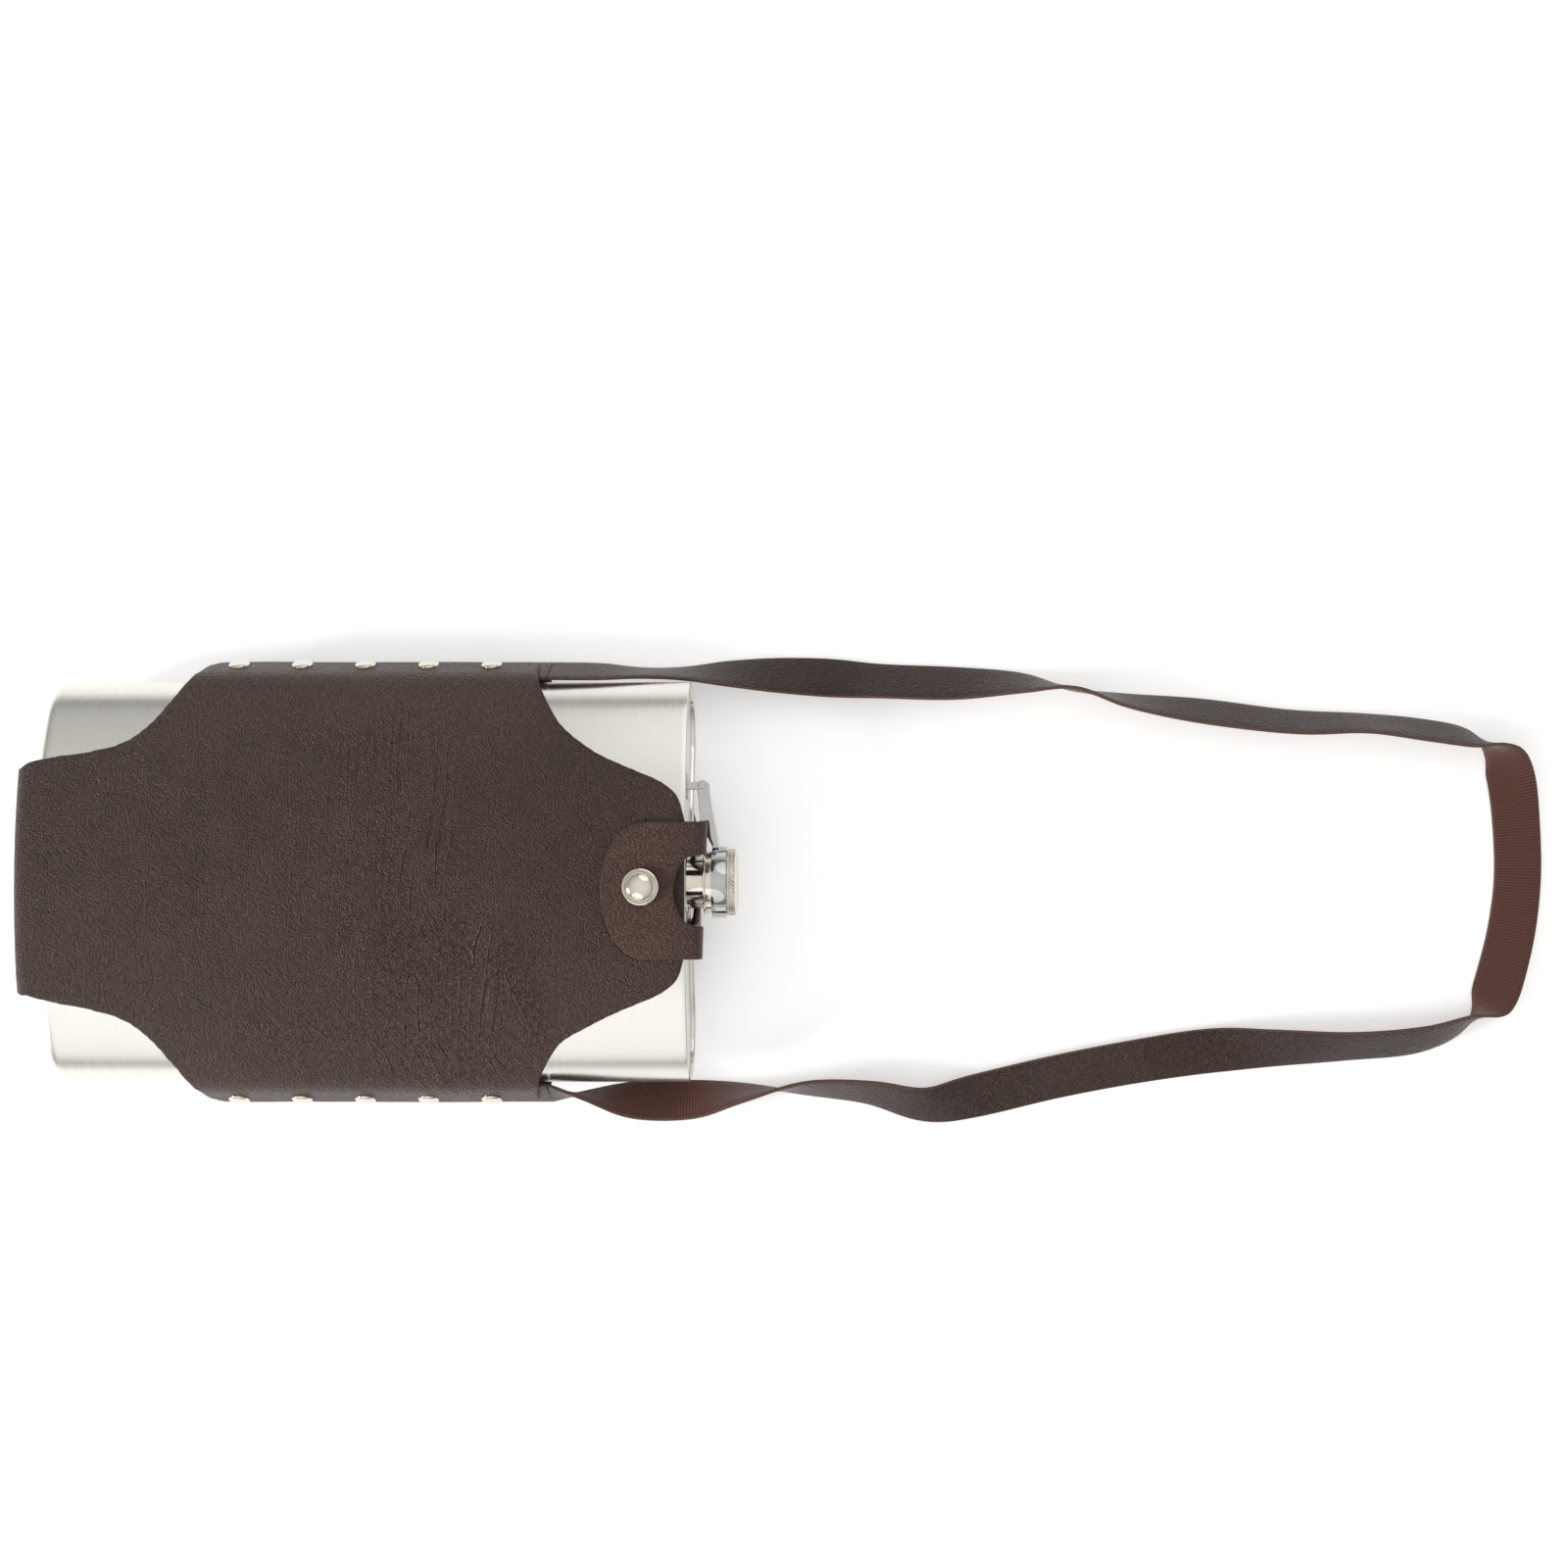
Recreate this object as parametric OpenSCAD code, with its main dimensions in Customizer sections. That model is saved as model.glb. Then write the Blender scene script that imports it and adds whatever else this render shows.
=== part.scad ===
// Canteen: a large curved steel flask in a riveted leather sleeve with a flat shoulder strap.
// It lies on its back panel. +X runs from the base to the cap, +Z points out of the front panel,
// and the origin is under the middle of the canteen, the loose strap left out.

/* [Flask] */
// Length from the base to the top end
flask_len = 267; // [200:1:330]
// Width across the rounded sides
flask_w = 170; // [150:1:210]
// Thickness of the curved section
flask_t = 44; // [34:1:54]
// Radius of the section's curve at mid thickness
bend_r = 173; // [150:1:260]
// Wall of the shell
wall = 1; // [0.6:0.1:1.6]
// Depth of the end plates below their rims
plate_recess = 1.5; // [0.8:0.1:3]
// Thickness of the end plates
plate_t = 1; // [0.6:0.1:1.6]

/* [Neck and cap] */
// Diameter of the neck's bore
bore_d = 18.8; // [14:0.1:24]
// Wall of the neck
neck_wall = 1.5; // [1:0.1:2.2]
// Length of neck above the end of the flask
neck_reach = 12.4; // [11.5:0.1:14]
// Height of the thread's crests over the neck
thread_h = 0.7; // [0.4:0.1:0.9]
// Pitch of the thread
thread_pitch = 1.75; // [1.25:0.25:2]
// Wall of the cap's skirt
cap_wall = 0.8; // [0.6:0.1:1.6]
// How far the knurled top of the cap stands out past its skirt
knurl_lip = 1; // [0.8:0.1:1.6]
// Height of the knurled top
knurl_h = 3.7; // [2.5:0.1:6]
// Wall of the arm's collar
collar_wall = 1.7; // [1:0.1:2.6]
// Height of the arm's collar
collar_h = 6; // [4:0.1:8]

/* [Hinge] */
// Distance from the neck's axis to the hinge pin
hinge_y = 40.2; // [34:0.1:46]
// Height of the hinge pin above the end of the flask
hinge_x = 5.9; // [5:0.1:8]
// Diameter of the hinge pin
pin_d = 2; // [1.2:0.1:2.6]
// Width of the arm
arm_w = 12; // [9:0.5:16]
// Sheet thickness of the arm
arm_t = 1.1; // [0.8:0.1:1.6]

/* [Leather] */
// Thickness of the leather
leather_t = 1.8; // [1.2:0.1:2.4]
// Room left between the base of the flask and the fold of the sleeve
fold_gap = 6.2; // [2:0.1:12]
// Width of the flap that closes over the top
flap_w = 56; // [46:1:64]
// How far the flap reaches down the front
flap_reach = 34; // [28:1:44]
// Sideways offset of the flap from the neck's axis
flap_shift = -3.5; // [-4:0.5:4]
// Slope of the riveted side seams, from the front panel's face
seam_slope = 64; // [56:1:74]
// Width of the riveted side seams
seam_w = 14; // [12:0.5:18]

/* [Snap and rivets] */
// Diameter of the snap's cap
snap_d = 15; // [11:0.5:18]
// Distance from the top end of the flask to the snap
snap_x = 17.7; // [15:0.1:22]
// Sideways place of the snap
snap_y = -2; // [-4:0.5:4]
// Diameter of the side rivets' caps
rivet_d = 8.7; // [6:0.1:10]
// Rivets on each side
rivet_count = 5; // [3:1:6]
// Distance from the base end of the seam to the first rivet
rivet_first = 14; // [8:0.1:20]
// Distance from the last rivet to the cap end of the seam
rivet_last = 20.2; // [12:0.1:30]

/* [Strap] */
// Width of the strap
strap_w = 20; // [16:0.5:22]
// Thickness of the strap
strap_t = 1.8; // [1.2:0.1:2.4]

/* [Hidden] */
$fn = 72;
fit_gap = 0.3;      // between the leather and the steel, and around everything that moves
layer_gap = 0.05;   // between pieces that lie on each other
run_gap = 0.06;     // between a turning ring or pin and its seat
thread_gap = 0.6;   // between the thread's crests and the cap's skirt
slot_gap = 0.6;     // between the neck and the edge of the flap's opening
far = 400;          // longer than anything here

steel = [0.80, 0.79, 0.76];
chrome = [0.90, 0.90, 0.92];
nickel = [0.78, 0.76, 0.68];
leather = [0.29, 0.23, 0.21];
lining = [0.33, 0.21, 0.18];
black_rubber = [0.08, 0.08, 0.08];

// Diameters round the neck's axis, from the inside out
neck_d = bore_d + 2 * neck_wall;
cap_in_r = neck_d / 2 + thread_h + thread_gap;
skirt_r = cap_in_r + cap_wall;
knurl_r = skirt_r + knurl_lip;
collar_r = skirt_r + fit_gap;

// Lengths along the canteen
cap_top = neck_reach + 1.6 + 2.1 + knurl_h;
fold_out = fold_gap + leather_t;
x_base = fold_out - (fold_out + flask_len + cap_top) / 2;
x_top = x_base + flask_len;
x_plate = x_top - plate_recess;

// The section: a band bent round bend_r, with a half round at each end
end_r = flask_t / 2;
end_y = flask_w / 2 - end_r;
end_z = leather_t + fit_gap + end_r;
bend_a = asin(end_y / bend_r);
bend_z = end_z - bend_r * cos(bend_a);
front_r = bend_r + end_r;
back_r = bend_r - end_r;
neck_z = bend_z + bend_r;
front_z = bend_z + front_r;

// The side seam: d is the distance out from the centre of the flask's round side, w runs down the seam
seam_back = end_r + fit_gap;
seam_strap = seam_back + leather_t + layer_gap;
seam_front = seam_strap + strap_t + layer_gap;
seam_out = seam_front + leather_t;
function seam(d, w) = [end_y + d * sin(seam_slope) + w * cos(seam_slope),
                       end_z + d * cos(seam_slope) - w * sin(seam_slope)];
seam_top = -4;
rivet_w = seam_w * 0.6;

// The front panel leaves the flask on a round that meets the seam
shoulder_r = 12;
panel_in = front_r + fit_gap;
panel_out = panel_in + leather_t;
shoulder_0 = seam(seam_out - shoulder_r, 0) - [0, bend_z];
seam_dir = [cos(seam_slope), -sin(seam_slope)];
shoulder_b = shoulder_0 * seam_dir;
shoulder_s = -shoulder_b
    - sqrt(pow(shoulder_b, 2) - shoulder_0 * shoulder_0 + pow(panel_out - shoulder_r, 2));
shoulder_c = shoulder_0 + shoulder_s * seam_dir + [0, bend_z];
shoulder_a = atan2(shoulder_c[0], shoulder_c[1] - bend_z);
strap_top = shoulder_s - 0.7;

// The back panel turns up into the seam on a round that touches the ground
heel_p = seam(seam_strap - layer_gap, seam_w);
heel_r = heel_p[1] / (1 + cos(seam_slope));
heel_c = [heel_p[0] - heel_r * sin(seam_slope), heel_r];

// Half outlines of the leather: distance from the top end, or from the seam's base end, and share of the
// half width
half_w = flask_w / 2;
waist = [[-8.5, 0.495], [-13.4, 0.527], [-20.8, 0.564], [-28.2, 0.6], [-35.6, 0.641], [-40.7, 0.675],
    [-48.2, 0.733], [-53.4, 0.789], [-58.6, 0.888], [-63, 0.975]];
top_edge = concat([[0, 0.29], [-1, 0.356], [-3.5, 0.44]], waist);
flap_root = concat([[0, flap_w / flask_w], [-3.5, 0.44]], waist);
base_edge = [[-2.4, 0.985], [-8.7, 0.88], [-15.1, 0.774], [-22.2, 0.694], [-29.5, 0.65], [-37.2, 0.626],
    [-53, 0.592], [-60.6, 0.572]];
seam_x0 = x_base + 62;
seam_x1 = x_top - 64;
base_half = 0.547 * half_w;

// The flap
tongue_gap = 1;
tongue_in = panel_out + tongue_gap;
fold_x = x_top + 2;
fold_z = bend_z + sqrt(pow(tongue_in + leather_t / 2, 2) - pow(flap_w * 0.4, 2));
neck_slot_w = neck_d + 2 * (slot_gap + abs(flap_shift));
slot_low = 7;
slot_bite = 4.5;
slot_bite_r = 19.5;

// The snap
snap_at = [x_top - snap_x, snap_y];
snap_z = bend_z + sqrt(pow(panel_out, 2) - pow(snap_y, 2));
stud_r = 2.6;
socket_r = 3.6;
post_r = 1.8;
post_head_r = 5.5;
stud_top = tongue_gap + leather_t - 0.5;

// The cap
cap_seat = neck_reach + 1.6;
collar_x0 = x_top + cap_seat + 1.9 - collar_h;
retainer_x = collar_x0 - 3.5;
flange_z = arm_w / 2 - arm_t;
knuckle_r = pin_d / 2 + 1;

// Rivet places along the canteen, from the base end of the seam
rivet_pitch = (seam_x1 - seam_x0 - rivet_first - rivet_last) / (rivet_count - 1);
rivet_xs = [for (i = [0 : rivet_count - 1]) seam_x0 + rivet_first + i * rivet_pitch];

// Route of the loose strap: distance past the strap's ends, share of the half distance between them, height
// of the band's middle, and its lean from upright, leather side up above zero
strap_x = seam_x1 + 4;
strap_mid = seam(seam_strap + strap_t / 2, strap_top + strap_w / 2);
strap_route = concat([[0.4, 1, strap_mid[1], 90 - seam_slope]], [
    [20.4, 1, 25, 25], [38.4, 1, 20, 17], [56.4, 1.006, 14.5, 21], [75.4, 1.012, 9.4, 40],
    [96.4, 1.006, 7.6, 56], [118.4, 0.995, 6.6, 62], [140.4, 0.978, 7.7, 53], [172.4, 0.967, 7.7, 51],
    [202.4, 0.967, 10.1, 31], [224.4, 0.939, 10.8, 4], [248.4, 0.877, 10.6, 21],
    [282.4, 0.827, 9.5, 37], [320.4, 0.777, 9.6, 35], [350.4, 0.771, 10.2, 27],
    [377.4, 0.738, 9.9, 31], [397.4, 0.699, 10.2, 27], [407.4, 0.648, 10.5, -6],
    [414.4, 0.559, 6.5, -52], [418.9, 0.402, 2.5, -79], [420.9, 0.067, 1.5, -86],
    [418.4, -0.201, 2, -82], [413.4, -0.425, 3.5, -74], [407.4, -0.57, 7, -50],
    [397.4, -0.671, 10.4, 17], [376.4, -0.766, 9.4, 38], [344.4, -0.799, 9.1, 41],
    [310.4, -0.81, 6.7, 58], [284.4, -0.827, 3.2, 81], [250.4, -0.883, 3.6, 77],
    [216.4, -0.956, 4, 74], [182.4, -1.045, 4.4, 73], [160.4, -1.084, 7.4, 53],
    [136.4, -1.023, 9.5, 37], [108.4, -1, 10.4, 23], [80.4, -1.023, 10.7, -17],
    [58.4, -1.056, 9.3, -49], [36.4, -1.051, 14, -47], [16.4, -1.017, 22.5, -6]],
    [[0.4, -1, strap_mid[1], 90 - seam_slope]]);

// ---- helpers -------------------------------------------------------------------------------

function rev(v) = [for (i = [len(v) - 1 : -1 : 0]) v[i]];

// Points of an arc, with angles from straight up
function arc(c, r, a0, a1, n) =
    [for (i = [0 : n]) let (a = a0 + (a1 - a0) * i / n) c + r * [sin(a), cos(a)]];

// A smooth curve through points, n steps between each pair
function curve(p, n) = [for (i = [0 : len(p) - 2], k = [0 : n - 1]) blend_at(p, i, k / n), p[len(p) - 1]];
function blend_at(p, i, t) =
    let (a = p[max(i - 1, 0)], b = p[i], c = p[i + 1], d = p[min(i + 2, len(p) - 1)])
    0.5 * (2 * b + (c - a) * t + (2 * a - 5 * b + 4 * c - d) * t * t + (3 * b - a - 3 * c + d) * t * t * t);

// A closed band from the right halves of its inner and outer lines, which start in the middle
module band(inner, outer) {
    left_in = [for (i = [len(inner) - 1 : -1 : 1]) [-inner[i][0], inner[i][1]]];
    left_out = [for (i = [1 : len(outer) - 1]) [-outer[i][0], outer[i][1]]];
    polygon(concat(left_in, inner, rev(outer), left_out));
}

module along_x(x0, x1) {
    translate([x0, 0, 0]) rotate([90, 0, 90]) linear_extrude(x1 - x0) children();
}

module along_y(y0, y1) {
    translate([0, y1, 0]) rotate([90, 0, 0]) linear_extrude(y1 - y0) children();
}

// A turned piece on the neck's axis, its profile as [radius, distance from the top end]
module turned(profile) {
    translate([x_top, 0, neck_z]) rotate([0, 90, 0]) rotate_extrude() polygon(profile);
}

// The flask's section, grown outwards by off
module section(off) {
    r = end_r + off;
    for (s = [-1, 1]) {
        translate([s * end_y, end_z]) intersection() {
            circle(r);
            rotate(s * -bend_a) translate([s > 0 ? 0 : -far, -far / 2]) square([far, far]);
        }
    }
    translate([0, bend_z]) intersection() {
        difference() {
            circle(bend_r + r, $fn = 360);
            circle(bend_r - r, $fn = 360);
        }
        polygon([[0, 0], far * [-sin(bend_a), cos(bend_a)], far * [sin(bend_a), cos(bend_a)]]);
    }
}

// Outline of a leather panel: its narrow ends, its waist and the wide part at the seams
module panel_outline(end_edge) {
    side = concat(
        curve([for (p = end_edge) [x_top + p[0], half_w * p[1]]], 3),
        [[seam_x1, half_w], [seam_x1, flask_w], [seam_x0, flask_w], [seam_x0, half_w]],
        curve([for (p = base_edge) [seam_x0 + p[0], half_w * p[1]]], 3),
        [[x_base - fold_out - 20, base_half]]);
    polygon(concat(side, [for (p = rev(side)) [p[0], -p[1]]]));
}

// Places something at each rivet, standing on the front panel's seam
module at_rivets(d) {
    for (s = [-1, 1], x = rivet_xs) {
        p = seam(d, rivet_w);
        translate([x, s * p[0], p[1]]) rotate([-s * seam_slope, 0, 0]) children();
    }
}

module rivet_holes() {
    at_rivets(seam_back - 1) cylinder(d = 3.2, h = seam_out - seam_back + 2);
}

// A strap end inside one seam
module strap_end(s) {
    difference() {
        along_x(seam_x0 + 4, strap_x) polygon([for (q = [[0, 0], [0, 1], [1, 1], [1, 0]])
            let (p = seam(seam_strap + q[0] * strap_t, strap_top + q[1] * strap_w)) [s * p[0], p[1]]]);
        rivet_holes();
    }
}

// One ring of the loose strap at route value q, with the direction of travel
function strap_ring(q, dir) =
    let (ahead = dir / norm(dir), inward = [ahead[1], -ahead[0], 0],
         across = cos(q[3]) * [0, 0, 1] + sin(q[3]) * inward,
         out = sin(q[3]) * [0, 0, 1] - cos(q[3]) * inward,
         hw = strap_w / 2, ht = strap_t / 2,
         low = hw * abs(cos(q[3])) + ht * abs(sin(q[3])) + layer_gap,
         c = [strap_x + q[0], strap_mid[0] * q[1], max(q[2], low)])
    [for (p = [[hw, 0.5], [hw - 0.6, 1], [0.6 - hw, 1], [-hw, 0.5], [-hw, -0.5], [0.6 - hw, -1],
               [hw - 0.6, -1], [hw, -0.5]]) c + p[0] * across + p[1] * ht * out];

// ---- steel ---------------------------------------------------------------------------------

module flask_body() {
    color(steel) difference() {
        along_x(x_base, x_top) section(0);
        along_x(x_base - 1, x_top + 1) section(-wall);
    }
}

module base_plate() {
    color(steel) along_x(x_base + plate_recess, x_base + plate_recess + plate_t) section(-wall - layer_gap);
}

module top_plate() {
    color(steel) difference() {
        along_x(x_plate - plate_t, x_plate) section(-wall - layer_gap);
        turned([[0, -10], [neck_d / 2 + layer_gap, -10], [neck_d / 2 + layer_gap, 5], [0, 5]]);
    }
}

// The neck, with a foot on the plate and thread crests where the cap screws down
module neck() {
    r = neck_d / 2;
    foot = -plate_recess + layer_gap;
    thread_0 = neck_reach - 0.8 - 2 * thread_pitch;
    crests = [for (i = [0 : 1], p = [[0, 0], [thread_h, 0.5], [thread_h, 0.8], [0, 1.3]])
        [r + p[0], thread_0 + i * thread_pitch + p[1]]];
    color(nickel) turned(concat(
        [[bore_d / 2, -4], [r, -4], [r, foot], [r + 2.2, foot], [r + 2.2, foot + 0.8], [r, foot + 0.8]],
        crests, [[r, neck_reach], [bore_d / 2, neck_reach]]));
}

module hinge_bracket() {
    foot_x = x_plate + layer_gap;
    color(chrome) difference() {
        union() {
            translate([foot_x, hinge_y - 5.5, neck_z - flange_z + 0.5]) cube([1, 11, 2 * flange_z - 1]);
            translate([foot_x, hinge_y - 1.5, neck_z - flange_z + 0.5])
                cube([x_top + hinge_x - foot_x, 3, 2 * flange_z - 1]);
            translate([x_top + hinge_x, hinge_y, neck_z - flange_z + 0.5])
                cylinder(r = knuckle_r, h = 2 * flange_z - 1);
        }
        translate([x_top + hinge_x, hinge_y, neck_z - arm_w])
            cylinder(d = pin_d + 2 * layer_gap, h = 2 * arm_w);
    }
}

module hinge_pin() {
    translate([x_top + hinge_x, hinge_y, neck_z]) color(chrome) {
        cylinder(d = pin_d, h = arm_w + 2, center = true);
        for (s = [-1, 1])
            translate([0, 0, s * (arm_w / 2 + 0.7)]) cylinder(d = pin_d + 1.2, h = 0.8, center = true);
    }
}

// The arm that keeps the cap on the flask: a channel from the hinge to a collar round the cap
module cap_arm() {
    reach = [x_top + hinge_x, hinge_y];
    web_near = [x_top + hinge_x + 2.6, hinge_y - knuckle_r - 0.7];
    web_far = [collar_x0 + 2.7, collar_r + 0.9];
    root = [collar_x0 + 0.4, collar_r + 0.9];
    color(chrome) difference() {
        union() {
            translate([0, 0, neck_z - arm_w / 2]) linear_extrude(arm_w)
                polygon([web_near, web_far, web_far - [arm_t + 0.3, 0], web_near - [arm_t + 0.3, 0]]);
            for (z = [-arm_w / 2, flange_z]) translate([0, 0, neck_z + z]) {
                linear_extrude(arm_t) polygon([web_near, web_far, root, [x_top + 5, hinge_y - 16],
                    reach + [-knuckle_r - 0.1, -1.5], reach + [0, 0.1], reach + [1.6, -0.4]]);
                translate(reach) cylinder(r = knuckle_r + 0.2, h = arm_t);
            }
            turned([for (q = [[0, 0], [1, 0], [1, 1], [0, 1]])
                [collar_r + q[0] * collar_wall, collar_x0 - x_top + q[1] * collar_h]]);
        }
        translate([x_top + hinge_x, hinge_y, neck_z - arm_w])
            cylinder(d = pin_d + 2 * run_gap, h = 2 * arm_w);
        turned([[0, 2], [collar_r, 2], [collar_r, 30], [0, 30]]);
    }
}

// The ring that keeps the cap in the collar; it rises with the cap
module cap_retainer() {
    x = retainer_x - x_top;
    color(nickel) turned([[skirt_r + run_gap, x], [knurl_r, x], [knurl_r, x + 1],
        [skirt_r + run_gap, x + 1]]);
}

module screw_cap() {
    x0 = retainer_x - x_top + 0.2;
    x1 = collar_x0 - x_top + collar_h + 0.2;
    color(nickel) turned([[cap_in_r, x0], [skirt_r, x0], [skirt_r, x1], [knurl_r, x1],
        [knurl_r, x1 + knurl_h - 0.5], [knurl_r - 0.5, x1 + knurl_h], [0, x1 + knurl_h],
        [0, cap_seat], [cap_in_r, cap_seat]]);
}

module cap_gasket() {
    r = cap_in_r - 0.1;
    x0 = neck_reach + 0.1;
    color(black_rubber) turned([[0, x0], [r, x0], [r, cap_seat - layer_gap], [0, cap_seat - layer_gap]]);
}

// ---- leather -------------------------------------------------------------------------------

module sleeve_front() {
    c = [0, bend_z];
    inner = concat(arc(c, panel_in, 0, shoulder_a, 10),
        arc(shoulder_c, shoulder_r - leather_t, shoulder_a + 5, seam_slope, 6), [seam(seam_front, seam_w)]);
    outer = concat(arc(c, panel_out, 0, shoulder_a, 10), arc(shoulder_c, shoulder_r, shoulder_a + 5,
        seam_slope, 6), [seam(seam_out, seam_w)]);
    color(leather) difference() {
        intersection() {
            along_x(x_base - fold_out, x_top) band(inner, outer);
            linear_extrude(far) panel_outline(top_edge);
        }
        rivet_holes();
        translate([snap_at[0], snap_at[1], 0]) {
            cylinder(r = post_r + layer_gap, h = far);
            cylinder(r = post_head_r + 0.1, h = snap_z - leather_t + 0.7);
        }
    }
}

// The strip that closes the sleeve's end, between the front and back panels
module sleeve_base() {
    color(leather) difference() {
        translate([x_base - fold_out, -base_half, leather_t + layer_gap])
            cube([leather_t, 2 * base_half, front_z]);
        along_x(x_base - far, x_base) difference() {
            translate([-far / 2, 0]) square([far, far]);
            translate([0, bend_z]) circle(panel_in - 0.1, $fn = 360);
        }
    }
}

module sleeve_back() {
    inner = concat([[0, leather_t], [heel_c[0], leather_t]],
        arc(heel_c, heel_r - leather_t, 170, seam_slope, 8), [seam(seam_back, seam_top)]);
    outer = concat([[0, 0], [heel_c[0], 0]], arc(heel_c, heel_r, 170, seam_slope, 8),
        [seam(seam_back + leather_t, seam_top)]);
    color(leather) difference() {
        intersection() {
            along_x(x_base - fold_out, x_top) band(inner, outer);
            linear_extrude(far) panel_outline(flap_root);
        }
        rivet_holes();
    }
}

// The flap's lower part: from the back panel up over the top end, with the opening for the neck
module flap_bridge() {
    h = leather_t / 2;
    mid = curve([[x_top + 1.6, leather_t + layer_gap], [x_top + 1.6, 20], [x_top + 1.6, front_z - 18],
        [x_top + 2.8, front_z - 12], [x_top + 5.4, front_z - 7.5], [x_top + 7, front_z - 4],
        [x_top + 6.4, front_z - 1.4], [x_top + 4.4, front_z - 0.8]], 2);
    n = len(mid);
    normals = [for (i = [0 : n - 1]) let (d = mid[min(i + 1, n - 1)] - mid[max(i - 1, 0)])
        [d[1], -d[0]] / norm(d)];
    color(leather) difference() {
        union() {
            along_y(flap_shift - flap_w / 2, flap_shift + flap_w / 2)
                polygon(concat([for (i = [0 : n - 1]) mid[i] + h * normals[i]],
                    rev([for (i = [0 : n - 1]) mid[i] - h * normals[i]])));
            translate([x_top + layer_gap, flap_shift - flap_w / 2, 0])
                cube([1.6 + h - layer_gap, flap_w, leather_t + 0.5]);
        }
        along_x(x_top - 1, x_top + 20) translate([flap_shift, slot_low + neck_slot_w / 2]) {
            circle(d = neck_slot_w);
            translate([-neck_slot_w / 2, 0]) square([neck_slot_w, far]);
        }
    }
}

// The flap's upper part, which opens: it lies on the front panel and carries the snap
module flap_tongue() {
    half = flap_w / 2;
    straight = flap_reach - 17;
    edge = concat([[fold_x - 0.3, half]], [for (a = [0 : 10 : 90])
        [x_top - straight - 17 * sin(a), half * cos(a)]]);
    color(leather) difference() {
        intersection() {
            along_x(x_top - flap_reach - 1, fold_x) translate([0, bend_z]) difference() {
                circle(tongue_in + leather_t, $fn = 360);
                circle(tongue_in, $fn = 360);
            }
            translate([0, flap_shift, neck_z])
                linear_extrude(far) polygon(concat(edge, [for (p = rev(edge)) [p[0], -p[1]]]));
        }
        translate([x_top + slot_bite_r - slot_bite, flap_shift, 0]) intersection() {
            cylinder(r = slot_bite_r, h = far);
            translate([-far / 2, -neck_slot_w / 2, 0]) cube([far, neck_slot_w, far]);
        }
        translate([snap_at[0], snap_at[1], 0]) cylinder(r = socket_r + layer_gap, h = far);
    }
}

// ---- snap and rivets -----------------------------------------------------------------------

// A turned piece of the snap, its profile as [radius, height over the front panel]
module snap_turned(profile) {
    translate([snap_at[0], snap_at[1], snap_z]) rotate_extrude() polygon(profile);
}

// A low dome, the shape of the snap's cap and of the rivets' caps
module dome(d, rise) {
    ball = (pow(d / 2, 2) + pow(rise, 2)) / (2 * rise);
    intersection() {
        translate([0, 0, rise - ball]) sphere(ball);
        cylinder(d = d, h = rise + 1);
    }
}

module snap_cap() {
    color(nickel) translate([snap_at[0], snap_at[1], snap_z + tongue_gap + leather_t + layer_gap])
        dome(snap_d, 3.2);
}

// The ring in the flap that the stud clicks into
module snap_socket() {
    low = tongue_gap - 0.5;
    color(nickel) snap_turned([[stud_r + 0.4, low], [socket_r + 1.6, low], [socket_r + 1.6, low + 0.35],
        [socket_r, low + 0.35], [socket_r, tongue_gap + leather_t - 0.2],
        [stud_r + 0.4, tongue_gap + leather_t - 0.2]]);
}

// The stud on the front panel
module snap_stud() {
    r = post_r + layer_gap;
    color(nickel) snap_turned([[r, layer_gap], [4.8, layer_gap], [4.8, 0.25], [stud_r - 0.3, 0.25],
        [stud_r - 0.3, stud_top - 0.9], [stud_r, stud_top - 0.6], [stud_r, stud_top - 0.2],
        [stud_r - 0.3, stud_top], [0, stud_top], [0, stud_top - 0.6], [r, stud_top - 0.6]]);
}

// The post that holds the stud through the front panel
module snap_post() {
    low = 0.1 - leather_t;
    top = stud_top - 0.7;
    color(nickel) snap_turned([[0, low], [post_head_r, low], [post_head_r, low + 0.5], [post_r, low + 0.5],
        [post_r, top], [0, top]]);
}

module rivet_caps() {
    color(nickel) at_rivets(seam_out + layer_gap) dome(rivet_d, 1.8);
}

module rivet_posts() {
    color(nickel) at_rivets(seam_back) {
        translate([0, 0, -0.8]) cylinder(r = 3, h = 0.8 - layer_gap);
        translate([0, 0, -layer_gap * 2]) cylinder(d = 3, h = seam_out - seam_back + 2 * layer_gap);
    }
}

// ---- strap ---------------------------------------------------------------------------------

module strap_end_left() { color(leather) strap_end(1); }
module strap_end_right() { color(leather) strap_end(-1); }

module shoulder_strap() {
    pts = curve(strap_route, 2);
    n = len(pts);
    rings = [for (i = [0 : n - 1]) let (d = pts[min(i + 1, n - 1)] - pts[max(i - 1, 0)])
        strap_ring(pts[i], [d[0], strap_mid[0] * d[1]])];
    sides = [for (i = [0 : n - 2], k = [0 : 7], half = [0, 1]) let (m = (k + 1) % 8, a = i * 8)
        half == 0 ? [a + k, a + m, a + 8 + m] : [a + k, a + 8 + m, a + 8 + k]];
    color(leather) polyhedron([for (r = rings, p = r) p],
        concat(sides, [[for (k = [7 : -1 : 0]) k]], [[for (k = [0 : 7]) (n - 1) * 8 + k]]));
}

flask_body();
base_plate();
top_plate();
neck();
hinge_bracket();
hinge_pin();
cap_arm();
cap_retainer();
screw_cap();
cap_gasket();
sleeve_front();
sleeve_base();
sleeve_back();
flap_bridge();
flap_tongue();
snap_cap();
snap_socket();
snap_stud();
snap_post();
rivet_caps();
rivet_posts();
strap_end_left();
strap_end_right();
shoulder_strap();
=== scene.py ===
"""Looks for a large curved steel flask in a riveted leather sleeve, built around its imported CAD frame."""

import math

import bmesh
import bpy
from mathutils import Matrix, Vector, noise


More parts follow.
